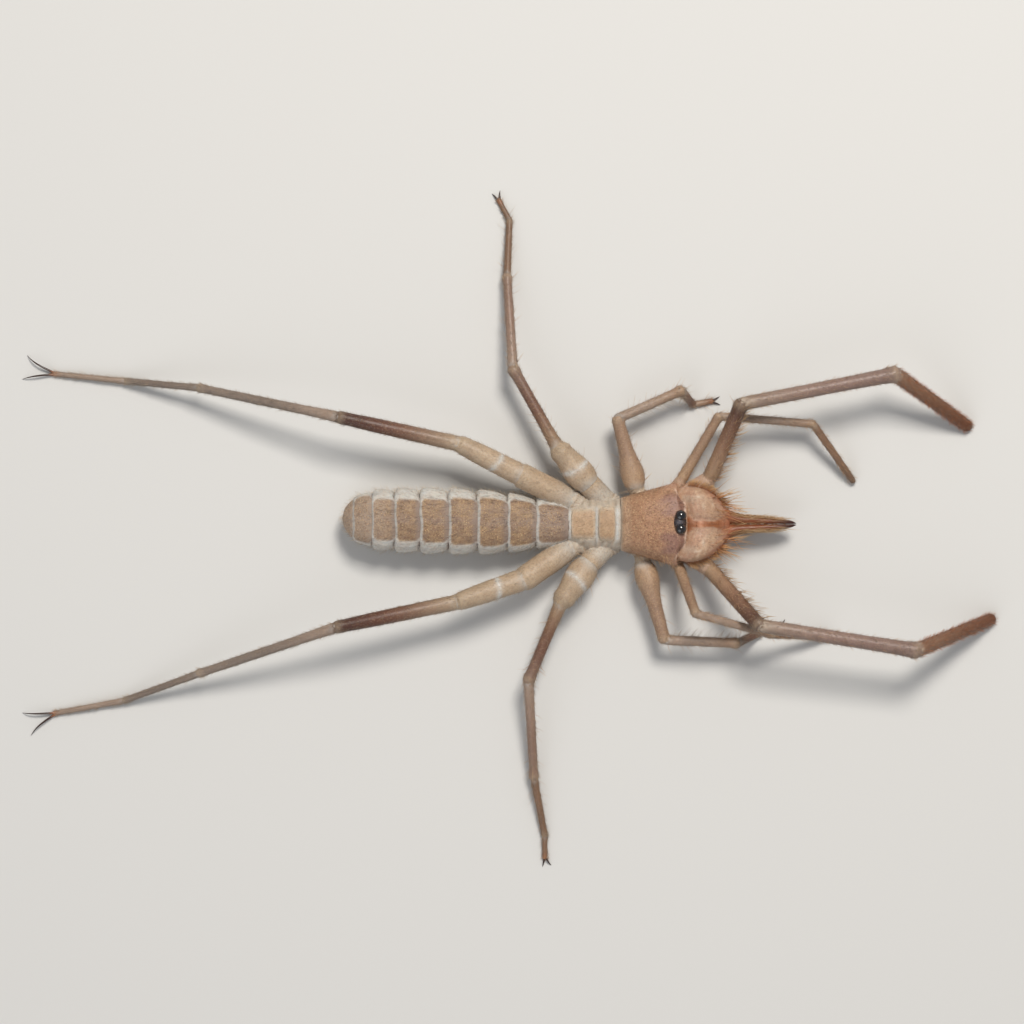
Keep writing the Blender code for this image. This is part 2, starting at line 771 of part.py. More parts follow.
def centre_on_floor():
    """Moves every mesh so that the middle of the whole footprint is the origin."""
    solids = [solid for solid in bpy.data.objects if solid.type == "MESH"]
    corners = [vertex.co for solid in solids for vertex in solid.data.vertices]
    low = Vector([min(corner[axis] for corner in corners) for axis in range(3)])
    high = Vector([max(corner[axis] for corner in corners) for axis in range(3)])
    shift = Vector((-(low.x + high.x) / 2, -(low.y + high.y) / 2, -low.z))
    for solid in solids:
        for vertex in solid.data.vertices:
            vertex.co += shift


main()
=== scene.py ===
"""Looks of the camel spider: one skin from jaw tips to feet, eyes, claws and a coat of bristles.

Sizes are in millimetres from the waist, the middle of the head shield's rear edge, with +X the way
the animal faces, +Y its left side and +Z up, and become metres in the frame when a mesh is made.
"""
import math
from contextlib import contextmanager
from dataclasses import dataclass

import bmesh
import bpy
import numpy as np
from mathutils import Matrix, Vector
from mathutils.bvhtree import BVHTree
from mathutils.kdtree import KDTree


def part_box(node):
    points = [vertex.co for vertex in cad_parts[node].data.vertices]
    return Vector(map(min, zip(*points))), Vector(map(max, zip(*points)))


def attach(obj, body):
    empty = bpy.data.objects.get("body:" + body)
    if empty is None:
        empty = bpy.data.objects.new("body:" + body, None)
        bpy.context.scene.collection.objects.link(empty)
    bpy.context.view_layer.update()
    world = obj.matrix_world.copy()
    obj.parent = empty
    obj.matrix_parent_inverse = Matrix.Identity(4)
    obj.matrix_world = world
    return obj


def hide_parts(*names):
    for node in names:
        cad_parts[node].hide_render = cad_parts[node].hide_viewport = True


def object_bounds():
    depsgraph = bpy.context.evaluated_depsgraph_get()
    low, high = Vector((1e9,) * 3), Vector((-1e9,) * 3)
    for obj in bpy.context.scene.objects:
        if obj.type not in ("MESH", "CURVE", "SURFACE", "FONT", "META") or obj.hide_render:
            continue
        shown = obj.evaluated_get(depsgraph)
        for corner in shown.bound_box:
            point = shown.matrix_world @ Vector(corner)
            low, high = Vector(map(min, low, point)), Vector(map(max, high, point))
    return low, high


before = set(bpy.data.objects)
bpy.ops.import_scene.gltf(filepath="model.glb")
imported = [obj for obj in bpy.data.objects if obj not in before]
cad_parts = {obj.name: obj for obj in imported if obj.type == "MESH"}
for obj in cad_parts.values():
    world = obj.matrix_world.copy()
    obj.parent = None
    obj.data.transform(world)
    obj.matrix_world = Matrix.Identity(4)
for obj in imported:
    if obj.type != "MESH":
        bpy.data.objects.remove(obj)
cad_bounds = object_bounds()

MM = 0.001
SIDES = {"left": 1, "right": -1}
SEED = 29
CHANCE = np.random.default_rng(SEED)

# The skeleton's sizes, as in the solids
CHEST_REAR = -5.45
HEAD_LENGTH = 6.5
HEAD_HALF_WIDTH = 4.35
HEAD_REAR_HALF_WIDTH = 2.75
HEAD_FRONT_HALF_WIDTH = 2.3
LOBE_SHARE = 0.86
HEAD_TOP = 6.3
HEAD_EDGE = 3.3
HAND_LENGTH = 4.4
FINGER_TIP = 18.1
THORAX_LENGTH = 5.6
ABDOMEN_LENGTH = 23.3
ABDOMEN_HALF_WIDTH = 3.35
ABDOMEN_HEIGHT = 4.9
ABDOMEN_FLOOR_GAP = 0.7
ABDOMEN_SWING = 1.4
FOOT_LEVEL = 0.19
FOOT_SLOPE = -2.5
FLOOR_CLEAR = 0.006

chest_low, chest_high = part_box("chest")
WAIST = np.array((chest_low.x / MM - CHEST_REAR, (chest_low.y + chest_high.y) / 2 / MM, 0.0))


# Colours, as the photo shows them
def shade(red, green, blue):
    """The linear colour of a screen colour given from 0 to 255."""
    screen = np.array((red, green, blue)) / 255
    return np.where(screen <= 0.04045, screen / 12.92, ((screen + 0.055) / 1.055) ** 2.4)


CREAM = shade(206, 192, 172)
ICE = shade(192, 192, 188)
WHITE_SIDE = shade(202, 196, 186)
SOFT_WHITE = shade(191, 181, 167)
TAN = shade(182, 152, 122)
PALE_TAN = shade(184, 164, 138)
LEG_TAN = shade(179, 157, 132)
PINK_TAN = shade(168, 134, 112)
HAND_PINK = shade(184, 144, 119)
GREY_MAUVE = shade(146, 127, 116)
MAROON = shade(70, 38, 29)
RUST = shade(112, 77, 56)
TIP_RUST = shade(98, 54, 28)
ORANGE = shade(160, 88, 50)
WEDGE_BROWN = shade(142, 80, 36)
# Pale pink of the highlight painted on the hands
PAINTED_HIGHLIGHT = shade(224, 160, 126)
JAW_RED = shade(124, 68, 40)
JAW_TIP = shade(58, 28, 20)
PLATE_BROWN = shade(160, 132, 102)
PALE_MAUVE = shade(166, 146, 128)
PLATE_DARK = shade(122, 98, 80)
HEAD_TAN = shade(171, 129, 99)
HEAD_MAUVE = shade(142, 106, 94)
GOLD = shade(210, 164, 106)
PALE_GOLD = shade(232, 204, 156)
AMBER = shade(176, 120, 70)
FOOT_TAN = shade(122, 93, 72)
THIGH_TAN = shade(149, 121, 99)
THIGH_RED = shade(109, 76, 60)
SHIN = shade(158, 137, 121)
SHIN_TAN = shade(139, 113, 98)
LEG_GREY = shade(126, 112, 101)
PALP_BROWN = shade(133, 100, 78)
PALP_GREY = shade(138, 114, 104)
CLAW_BROWN = shade(54, 30, 20)
BRIGHT_ORANGE = shade(176, 104, 56)
PALE_ORANGE = shade(238, 200, 142)
PALE_RUST = shade(214, 138, 78)
FOOT_ORANGE = shade(160, 100, 62)
RIM_PINK = shade(206, 172, 150)
RIM_WHITE = shade(212, 184, 163)
EYE_RIM = shade(34, 26, 28)
EYE_BRIDGE = shade(92, 90, 98)


def smoothstep(low, high, value):
    """0 below low, 1 above high, and a smooth rise between."""
    share = np.clip((value - low) / (high - low), 0, 1)
    return share * share * (3 - 2 * share)


def fall(low, high, value):
    """1 below low, 0 above high, and a smooth fall between."""
    return 1 - smoothstep(low, high, value)


def hump(value, place, reach):
    """1 at a place, falling off smoothly over a reach on both sides of it."""
    return np.exp(-(((value - place) / reach) ** 2))


def rounded(value, middle, reach):
    """Nearly 1 over a reach on both sides of a middle, rounded off steeply to 0 at its ends."""
    return np.sqrt(1 - (np.abs(value - middle) / reach) ** 8)


def squared(value, power):
    """A sine or cosine, drawn towards a square wave by a power below 1."""
    return np.sign(value) * np.abs(value) ** power


def turns(columns, first=0.0):
    """The angles of a shape's columns, from its left side over its top."""
    return 2 * math.pi * (np.arange(columns) + first) / columns


def unit(vectors):
    """Vectors of the same directions, all of length 1."""
    return vectors / np.linalg.norm(vectors, axis=-1, keepdims=True)


def sheet(*values):
    """Points from their x, y and z, which are stretched over one grid."""
    return np.stack(np.broadcast_arrays(*values), axis=-1)


def through(places, values, at):
    """A smooth curve through values at places, read at each number of at."""
    places = np.asarray(places, float)
    values = np.asarray(values, float)
    slopes = np.gradient(values, places, axis=0)
    k = np.clip(np.searchsorted(places, at) - 1, 0, len(places) - 2)
    span = places[k + 1] - places[k]
    t = np.clip((at - places[k]) / span, 0, 1)
    if values.ndim > 1:
        span, t = span[:, None], t[:, None]
    first = values[k] * (1 + 2 * t) * (1 - t) ** 2 + slopes[k] * span * t * (1 - t) ** 2
    second = values[k + 1] * t * t * (3 - 2 * t) + slopes[k + 1] * span * t * t * (t - 1)
    return first + second


def blend(first, second, share):
    """Colours between first and second, with share from 0 to 1 at every point."""
    share = np.asarray(share)[..., None]
    return first * (1 - share) + second * share


def layered(colour, *layers):
    """A colour under layers, each of them a colour with its share from 0 to 1."""
    for paint, share in layers:
        colour = blend(colour, paint, share)
    return colour


def ripple(points, size, seed):
    """A soft random field from -1 to 1 over points, made of crossing waves of about one size."""
    draw = np.random.default_rng(seed)
    field = np.zeros(points.shape[:-1])
    for _ in range(9):
        way = draw.normal(size=3)
        way *= draw.uniform(0.6, 1.5) / size / np.linalg.norm(way)
        field += np.sin(points @ way * 2 * math.pi + draw.uniform(0, 2 * math.pi))
    return np.clip(field / 4, -1, 1)


class Shape:
    """A closed surface as a grid: rows run along it and columns go round it.

    colour holds red, green and blue, and marks holds speckle, wrinkle and gloss, at every point.
    """

    made = []

    def __init__(self, name, points, colour, marks):
        self.name = name
        self.points = points
        self.colour = np.broadcast_to(colour, points.shape).copy()
        self.marks = np.broadcast_to(marks, points.shape).copy()
        self.points[..., 2] = np.maximum(self.points[..., 2], FLOOR_CLEAR)
        self.cell = len(Shape.made)
        Shape.made.append(self)

    def directions(self):
        """Unit vectors along the rows, outwards, and round the columns, at every point."""
        along = np.gradient(self.points, axis=0)
        around = np.roll(self.points, -1, axis=1) - np.roll(self.points, 1, axis=1)
        outward = np.cross(along, around)
        middle = self.points.mean(axis=1, keepdims=True)
        if ((self.points - middle) * outward).sum() < 0:
            outward = -outward
        unit = []
        for vectors in (along, outward, around):
            unit.append(vectors / np.maximum(np.linalg.norm(vectors, axis=-1, keepdims=True), 1e-9))
        return unit

    @property
    def flat(self):
        """Every point, in the order of the corner numbers."""
        return self.points.reshape(-1, 3)

    @property
    def axes(self):
        """The x, y and z of the grid."""
        return np.moveaxis(self.points, -1, 0)

    def faces(self):
        """Corner numbers of every face, with a fan-less cap at each end."""
        rows, columns = self.points.shape[:2]
        numbers = np.arange(rows * columns).reshape(rows, columns)
        turned = np.roll(numbers, -1, axis=1)
        sides = np.stack((numbers[:-1], turned[:-1], turned[1:], numbers[1:]), axis=-1)
        return sides.reshape(-1, 4).tolist() + [numbers[0].tolist(), numbers[-1].tolist()]


def to_frame(points):
    """Points in the frame, in metres."""
    return (np.asarray(points) + WAIST) * MM


def placed(name, data):
    """A new object in the scene."""
    made = bpy.data.objects.new(name, data)
    bpy.context.scene.collection.objects.link(made)
    return made


@contextmanager
def opened(mesh):
    """A mesh opened for work on its faces and points, and written back at the end."""
    work = bmesh.new()
    work.from_mesh(mesh)
    yield work
    work.to_mesh(mesh)
    work.free()


def mesh_object(name, points, faces):
    """An object from points in millimetres, with its faces turned outwards."""
    mesh = bpy.data.meshes.new(name)
    mesh.from_pydata(to_frame(points), [], faces)
    with opened(mesh) as work:
        bmesh.ops.recalc_face_normals(work, faces=work.faces)
        if work.calc_volume(signed=True) < 0:
            bmesh.ops.reverse_faces(work, faces=work.faces)
    return placed(name, mesh)


def rings(centres, first, second, wide, tall, columns):
    """Rings of points round centres, wide along the first direction and tall along the second."""
    turn = turns(columns)
    points = centres[:, None] + first * (wide[:, None] * np.cos(turn))[..., None]
    return points + second * (tall[:, None] * np.sin(turn))[..., None]


def tube(name, centres, widths, heights, colour, marks, columns=28):
    """A shape round a line of centres, with a half width and a half height at each."""
    centres = np.asarray(centres, float)
    runs = unit(np.gradient(centres, axis=0))[:, None]
    across = unit(np.cross((0, 0, 1), runs))
    points = rings(centres, across, np.cross(runs, across), widths, heights, columns)
    return Shape(name, points, colour, marks)


# Legs: the runs and poses of the solids, with the colours of each run at its start, middle and end
@dataclass(eq=False)
class Leg:
    """A leg from its root on the chest to its tip, as in the solids.

    Each run has its length and its radius at the start and in the middle, pose has each run's
    heading and rise in degrees, reach stretches the lengths, coxa is the place and width of the
    joint under the body, knobs swell the runs' far ends, and claws is the claws' length.
    """

    name: str
    root: tuple
    runs: tuple
    tip_radius: float
    tip_level: float
    pose: dict
    reach: dict
    colours: tuple
    coxa: tuple
    knobs: tuple
    claws: float = 0.0

    def joints(self, side_name):
        """The joints of this leg on one side. The run with no rise brings the tip to its level."""
        side = SIDES[side_name]
        lengths = np.array([length for length, _, _ in self.runs]) * self.reach[side_name]
        pose = self.pose[side_name]
        joints = [np.array(self.root) * (1, side, 1)]
        for run, (length, (heading, rise)) in enumerate(zip(lengths, pose)):
            if rise is None:
                later = zip(lengths[run + 1 :], pose[run + 1 :])
                drop = self.tip_level - sum(far * math.sin(math.radians(up)) for far, (_, up) in later)
                rise = math.degrees(math.asin((drop - joints[-1][2]) / length))
            flat = math.cos(math.radians(rise))
            turned = math.radians(side * heading)
            way = (flat * math.cos(turned), flat * math.sin(turned), math.sin(math.radians(rise)))
            joints.append(joints[-1] + np.array(way) * length)
        return joints


PEDIPALP = Leg(
    "pedipalp",
    (5.4, 2.3, 2.3),
    ((2.5, 0.85, 0.85), (1.9, 0.85, 0.82), (9.4, 0.80, 0.76), (16.3, 0.70, 0.70), (11.2, 0.80, 0.69)),
    0.62,
    0.42,
    {
        "left": ((36, 0), (29, 21), (67.8, 26.5), (11.0, -3.2), (-33.1, None)),
        "right": ((34, 0), (30.3, 30), (49.5, 32.9), (9.1, -3.6), (-20.0, None)),
    },
    {"left": 1.0, "right": (1.0, 1.0, 0.985, 1.015, 1.0)},
    (
        (RIM_PINK * 0.92, RIM_PINK * 0.95, RIM_PINK * 0.92),
        (RIM_PINK * 0.92, RIM_PINK * 0.95, RIM_PINK * 0.88),
        (TAN * 0.87, PALP_BROWN, MAROON * 0.85),
        (SHIN * 0.85, PALP_GREY, PALP_GREY * 0.85),
        (PALP_BROWN, RUST, TIP_RUST),
    ),
    (3.9, 0.55),
    (0.05, 0.08, 0.1, 0.1, 0.0),
)
LEG_1 = Leg(
    "leg_1",
    (4.4, 2.5, 2.2),
    ((2.4, 0.60, 0.60), (7.6, 0.60, 0.52), (9.4, 0.44, 0.41), (7.4, 0.40, 0.37)),
    0.30,
    0.5,
    {
        "left": ((50, 10), (59.6, 7), (-4.6, -3.0), (-53.5, None)),
        "right": ((52, 8), (72.0, 44.6), (15.7, -23.0), (3.0, None)),
    },
    {"left": 1.05, "right": 0.96},
    (
        (RIM_PINK * 0.92, RIM_PINK * 0.92, RIM_PINK * 0.92),
        (TAN, THIGH_TAN * 1.05, THIGH_TAN),
        (SHIN * 1.1, SHIN, THIGH_TAN * 0.95),
        (FOOT_TAN * 1.1, FOOT_TAN * 1.08, FOOT_TAN * 0.85),
    ),
    (3.1, 0.5),
    (0.05, 0.1, 0.12, 0.0),
)
LEG_2 = Leg(
    "leg_2",
    (2.1, 2.2, 2.3),
    ((1.8, 0.74, 0.76), (7.75, 0.80, 0.74), (7.1, 0.53, 0.50), (3.6, 0.48, 0.40), (2.1, 0.36, 0.31)),
    0.26,
    FOOT_LEVEL,
    {
        "left": ((113.6, 8), (105.3, 7), (23.8, -2.8), (-47.2, None), (10.9, FOOT_SLOPE)),
        "right": ((88.8, 8), (74.7, 5), (2.5, -1.6), (-21.4, None), (-15.5, FOOT_SLOPE)),
    },
    {"left": (0.97, 0.97, 1.03, 0.95, 0.96), "right": 1.07},
    (
        (CREAM, CREAM, CREAM),
        (TAN * 0.98, THIGH_TAN * 1.06, THIGH_TAN),
        (SHIN, SHIN, THIGH_TAN * 1.1),
        (THIGH_TAN * 0.85, THIGH_RED * 0.95, THIGH_RED * 0.85),
        (THIGH_TAN, THIGH_TAN, FOOT_TAN),
    ),
    (1.6, 0.75),
    (0.05, 0.15, 0.2, 0.15, 0.0),
    claws=0.95,
)
LEG_3 = Leg(
    "leg_3",
    (-1.5, 2.1, 2.3),
    (
        *((2.95, 1.0, 1.2), (5.1, 1.22, 1.2), (8.8, 0.76, 0.57)),
        *((10.6, 0.56, 0.47), (6.3, 0.42, 0.35), (2.3, 0.30, 0.27)),
    ),
    0.26,
    FOOT_LEVEL,
    {
        "left": (
            *((134.9, 13.5), (130.8, 12), (119.4, -2.3)),
            *((93.6, -14.2), (87.5, None), (117.6, FOOT_SLOPE)),
        ),
        "right": (
            *((135.8, 13.5), (125.5, 12), (112.6, -2.5)),
            *((86.8, -13.4), (79.4, None), (90.0, FOOT_SLOPE)),
        ),
    },
    {"left": (1.0, 1.0, 1.083, 0.947, 0.953, 1.044), "right": 1.0},
    (
        (SOFT_WHITE, SOFT_WHITE * 0.9, LEG_TAN),
        (LEG_TAN, LEG_TAN, LEG_TAN * 0.82),
        (TAN * 0.7, THIGH_RED, SHIN_TAN * 0.8),
        (SHIN, SHIN_TAN, SHIN_TAN * 0.9),
        (FOOT_TAN * 1.05, FOOT_TAN, FOOT_TAN * 0.9),
        (FOOT_TAN, FOOT_TAN * 1.05, FOOT_TAN),
    ),
    (-1.3, 1.1),
    (0.0, 0.3, 0.2, 0.25, 0.12, 0.0),
    claws=1.0,
)
LEG_4 = Leg(
    "leg_4",
    (-4.2, 1.7, 2.3),
    (
        *((1.4, 1.05, 1.15), (6.1, 1.25, 1.32), (7.2, 1.22, 1.1), (12.8, 0.84, 0.76)),
        *((15.6, 0.60, 0.46), (8.2, 0.40, 0.34), (7.6, 0.32, 0.27)),
    ),
    0.26,
    FOOT_LEVEL,
    {
        "left": (
            *((148.5, 16), (153.0, 15.5), (153.1, 9.0), (167.5, 4.65)),
            *((168.0, -13.3), (174.3, None), (174.2, FOOT_SLOPE)),
        ),
        "right": (
            *((152.5, 16), (145.3, 15.5), (161.0, 9.0), (168.3, 4.65)),
            *((161.2, -13.3), (160.0, None), (169.6, FOOT_SLOPE)),
        ),
    },
    {"left": 1.0, "right": (1.01, 1.01, 1.01, 1.01, 1.01, 1.08, 0.98)},
    (
        (SOFT_WHITE, SOFT_WHITE, SOFT_WHITE),
        (SOFT_WHITE * 0.9, LEG_TAN, LEG_TAN),
        (LEG_TAN, LEG_TAN, LEG_TAN * 0.87),
        (LEG_TAN * 0.9, THIGH_RED, MAROON * 0.8),
        (SHIN, LEG_GREY, LEG_GREY * 1.15),
        (LEG_GREY * 1.1, LEG_GREY * 0.95, LEG_GREY),
        (SHIN, SHIN * 0.95, SHIN * 0.9),
    ),
    (-3.5, 1.0),
    (0.0, 0.05, 0.08, 0.12, 0.22, 0.15, 0.0),
    claws=3.4,
)
LEGS = (PEDIPALP, LEG_1, LEG_2, LEG_3, LEG_4)
RING_LENGTH = 0.36
LEG_COLUMNS = 28
SHOULDER_LENGTH = 2.1
SHOULDER_SPREAD = 0.62
SHOULDER_RISE = 0.15
SHOULDER_BACK = 0.35
SHOULDER_FOLD = 0.055
SHOULDER_ROWS = (-1.25, -1.2, *np.linspace(-1.0, SHOULDER_LENGTH, 26), SHOULDER_LENGTH + 0.05)
SHOULDER_COLUMNS = 40
NECK = 0.12

# Where the photo shows more than a joint's own line: a swelling near a run's start, and a pale line
BULGES = {("leg_2", 1): 0.62, ("leg_3", 1): 0.28}
BULGE_PLACE = 1.6
BULGE_REACH = 1.7
PALE_LINES = {("leg_3", 1): 2.5, ("leg_4", 2): 3.1}
PALE_LINE_WIDTH = 0.38
FOLD_WIDTH = 0.09
# Pale skin at a run's start: how white it is in each run, and how far it reaches in two of them
RING_WHITENESS = (0.9, 0.6, 0.55, 0.45, 0.5, 0.3, 0.3)
FAINT_RINGS = 0.4
RING_STRETCH = {("pedipalp", 3): 1.8, ("pedipalp", 4): 0.5}
# How a run is divided, its rounded ends as shares of its radius, and its far knob
RUN_ROWS = 21
FINE_RUN_ROWS = 61
RUN_KNOTS = (0.0, 0.18, 0.5, 0.82, 1.0)
CAP_ANGLES = np.radians((80, 60, 40, 20))
START_CAP = 0.75
JOINT_CAP = 0.8
TIP_CAP = 0.95
MIDDLE_SHARE = 0.65
KNOB_BACK = 0.25
ARCH = 0.012
END_REACH = 0.45


def leg_run(leg, side_name, run, joints):
    """One stretch of a leg: a narrow neck, the stretch and a rounded knob at its far joint."""
    begin, end = joints[run], joints[run + 1]
    length = float(np.linalg.norm(end - begin))
    radii = [start for _, start, _ in leg.runs] + [leg.tip_radius]
    middle = leg.runs[run][2]
    first, last = radii[run], radii[run + 1]
    pale_line = PALE_LINES.get((leg.name, run))
    rows = FINE_RUN_ROWS if pale_line else RUN_ROWS
    body = 0.5 - 0.5 * np.cos(np.pi * np.linspace(0, 1, rows))
    early, late = (radius + (middle - radius) * MIDDLE_SHARE for radius in (first, last))
    sizes = (first, early, middle, late, last)
    radius = through(RUN_KNOTS, sizes, body)
    place = body * length
    is_tip = run == len(leg.runs) - 1
    knob = hump(length - place, KNOB_BACK, 0.3 + 0.4 * last)
    radius = radius * (1 + leg.knobs[run] * knob)
    bulge = BULGES.get((leg.name, run), 0)
    radius = radius * (1 + bulge * hump(place, BULGE_PLACE, BULGE_REACH))
    radius = radius * (1 - NECK * hump(place, 0, 0.3 * first + 0.1))
    back = -START_CAP * first * np.sin(CAP_ANGLES)
    ahead = (TIP_CAP if is_tip else JOINT_CAP) * last * np.sin(CAP_ANGLES[::-1])
    place = np.concatenate((back, place, length + ahead))
    cap = np.cos(CAP_ANGLES)
    radius = np.concatenate((radius[0] * cap, radius, radius[-1] * cap[::-1]))
    share = np.clip(place / length, 0, 1)
    centres = begin + (end - begin) * (place / length)[:, None]
    centres[:, 2] += ARCH * length * np.sin(np.pi * share)
    colour = through((0, 0.5, 1), leg.colours[run], share)
    near_end = hump(place, length, END_REACH)
    if not is_tip:
        colour = blend(colour, PALE_TAN, 0.35 * near_end)
    elif leg.claws:
        colour = blend(colour, FOOT_ORANGE, 0.5 * near_end)
    turn = turns(LEG_COLUMNS)
    above = 0.45 + 0.7 * np.maximum(np.sin(turn), 0) ** 3
    ring_length = RING_LENGTH * (0.7 + first) * RING_STRETCH.get((leg.name, run), 1)
    ring = hump(np.maximum(place, 0)[:, None], 0, ring_length * above)
    whiteness = RING_WHITENESS[run] * (1 if leg.claws or run > 2 else FAINT_RINGS)
    colour = blend(colour[:, None], ICE if run and leg.claws else CREAM, ring * whiteness)
    if pale_line:
        beyond = place[:, None] - pale_line - 0.3 * np.cos(turn + 0.6)
        patch = hump(beyond, 0, PALE_LINE_WIDTH * above) * (0.65 + 0.35 * np.sin(3 * turn))
        colour = blend(colour, ICE * 1.1, np.clip(patch, 0, 0.8))
        fold = hump(beyond, 0, FOLD_WIDTH) * np.maximum(np.sin(turn), 0) ** 2
        colour = blend(colour, ICE * 1.2, 0.8 * fold)
    speckle = (0.7 - 0.5 * min(run / 4, 1)) * (1 - ring)
    gloss = 0.25 + 0.35 * min(run / 3, 1) - 0.2 * ring
    marks = sheet(speckle, 0.9 * ring + (0.35 if run == 0 else 0.1), gloss)
    name = f"{leg.name}_{side_name}_{run}"
    return tube(name, centres, radius, radius * 1.02, colour, marks, LEG_COLUMNS)


def shoulder(leg, side_name, joints):
    """The broad folded skin where a leg joins the body."""
    far = np.array(SHOULDER_ROWS)
    near = fall(-0.6, SHOULDER_LENGTH, far)
    fold = SHOULDER_FOLD * np.sin(far * 10 + 0.8 * np.sin(far * 3))
    size = leg.runs[0][1] * (1 + SHOULDER_SPREAD * near) + fold
    tall = leg.runs[0][1] * (1 + SHOULDER_RISE * near) + fold
    for radii in (size, tall):
        radii[[0, -1]] *= (0.2, 0.6)
    colour = blend(SOFT_WHITE, LEG_TAN, 0.9 * smoothstep(0.5, SHOULDER_LENGTH, far))
    # Painted shade in the troughs of the folds
    colour = blend(colour, TAN * 0.75, np.clip(-fold * 18, 0, 1) * 0.8)
    centres = joints[0] + unit(joints[1] - joints[0]) * far[:, None]
    centres[:, 0] -= SHOULDER_BACK * near
    name = f"shoulder_{leg.name}_{side_name}"
    return tube(name, centres, size, tall, colour[:, None], (0.2, 1.0, 0.2), SHOULDER_COLUMNS)


COXA_START = np.array((0.0, 0.36, 1.72))
COXA_HEIGHT = 0.66
COXA_PAST = 0.115
COXA_ROWS = 26


def coxa(leg, side_name, joints):
    """The plump first joint under the body, from the midline to a leg's root."""
    x, wide = leg.coxa
    start = (COXA_START + (x, 0, 0)) * (1, SIDES[side_name], 1)
    share = np.linspace(-COXA_PAST, 1 + COXA_PAST, COXA_ROWS)
    centres = start + (joints[0] - start) * share[:, None]
    ends = rounded(share, 0.5, 0.62)
    share = np.clip(share, 0, 1)
    widths = (wide + (leg.runs[0][1] - wide) * share) * ends
    heights = (COXA_HEIGHT + (leg.runs[0][1] - COXA_HEIGHT) * share**2) * ends
    colour = blend(PALE_TAN, CREAM, share)[:, None]
    return tube(f"{leg.name}_{side_name}_coxa", centres, widths, heights, colour, (0.3, 0.3, 0.3))


# Head shield
HEAD_COLUMNS = 120


def head_half_width(share):
    """Half width of the shield at a share of its length from the rear edge."""
    widening = np.clip(share / LOBE_SHARE, 0, 1)
    narrowing = np.clip((share - LOBE_SHARE) / (1 - LOBE_SHARE), 0, 1)
    wide = HEAD_REAR_HALF_WIDTH + (HEAD_HALF_WIDTH - HEAD_REAR_HALF_WIDTH) * widening
    return wide + (HEAD_FRONT_HALF_WIDTH - HEAD_HALF_WIDTH) * narrowing**1.6


def head_shield():
    """The domed shield with its lateral lobes, its rolled rear edge and its raised front rim."""
    share = np.concatenate((np.linspace(0, 0.8, 34), np.linspace(0.82, 1, 30)))[:, None]
    turn = turns(HEAD_COLUMNS)
    dome = HEAD_TOP - HEAD_EDGE - 0.9 * fall(0, 0.4, share) - 0.42 * smoothstep(0.86, 1.0, share)
    dome -= 0.35 * fall(0, 0.05, share)
    up = np.sin(turn)
    lift = np.where(up > 0, np.abs(up) ** 0.75, 0)
    y = head_half_width(share) * squared(np.cos(turn), 0.8)
    aside = np.abs(y)
    z = HEAD_EDGE + dome * lift + np.where(up < 0, up, 0) * 0.35
    front = smoothstep(0.82, 1, share)
    x = share * (HEAD_LENGTH + 0.2) - 0.2
    x = x + front * (0.1 - 0.7 * smoothstep(1.6, 3.2, aside))
    rim_line = HEAD_LENGTH - 0.06 - 1.15 * smoothstep(1.7, 4.0, aside)
    on_rim = (up > 0.05) * fall(3.4, 3.9, aside)
    rim = hump(x, rim_line, 0.12) * on_rim
    z += 0.1 * rim
    z -= 0.05 * hump(x - rim_line + 0.32, 0, 0.2) * on_rim
    groove = hump(y, 0, 0.12) * smoothstep(0.1, 0.3, share) * (up > 0)
    z -= 0.02 * groove * (1 - front)
    points = sheet(x, y, z)
    soft = ripple(points, 1.6, 3)
    mauve = smoothstep(3.3, 4.9, x + 0.5 * soft) * smoothstep(0.5, 1.2, aside)
    mauve = mauve * (x < rim_line) * fall(2.8, 3.6, aside)
    lobe = smoothstep(3.2, 3.9, aside) * smoothstep(3.6, 4.9, x)
    edge = fall(-0.18, 0.05, x)
    colour = layered(
        blend(HEAD_TAN, HEAD_TAN * 0.88, 0.5 + 0.5 * soft),
        (TAN, 0.15 * fall(0.5, 3.4, x) + 0.1 * smoothstep(1.6, 3.2, aside)),
        (HEAD_MAUVE, 0.85 * mauve),
        (HAND_PINK * 1.15, lobe * 0.8),
        (LEG_TAN, 0.3 * fall(0.55, 1.0, x)),
        (RIM_WHITE, 0.9 * rim),
        (CREAM, 0.6 * edge * (up > 0)),
        (PALE_TAN, up < 0),
    )
    speckle = (up > 0) * (1 - rim * 0.9) * (1 - 0.5 * mauve) * (1 - edge)
    return Shape("head_shield", points, colour, sheet(speckle, 0, 0.2 + 0.25 * mauve))


TUBERCLE = np.array((5.78, 0.2, 5.86))
TUBERCLE_SIZE = np.array((0.76, 1.12, 0.68))
EYE_RADIUS = 0.6
EYE_SPREAD = 0.68
EYE_RAISED = 0.3
EYE_AHEAD = 0.15
EYE_ROWS = 30
EYE_COLUMNS = 48


def ball(name, centre, size, colour, marks, rows=24, columns=36):
    """An ellipsoid whose poles are at its top and bottom."""
    lift = np.radians(np.linspace(-88, 88, rows))[:, None]
    turn = turns(columns)
    points = sheet(np.cos(lift) * np.cos(turn), np.cos(lift) * np.sin(turn), np.sin(lift))
    return Shape(name, centre + points * size, colour, marks)


def tubercle():
    """The dark mound that carries the eyes, greyer in the middle."""
    mound = ball("tubercle", TUBERCLE, TUBERCLE_SIZE, EYE_RIM, (0.2, 0, 0.8))
    x, y, _ = np.moveaxis(mound.points - TUBERCLE, -1, 0)
    middle = np.exp(-((y / 0.24) ** 2) - ((x / 0.4) ** 2))
    mound.colour = blend(mound.colour, EYE_BRIDGE, 0.75 * middle)
    return mound


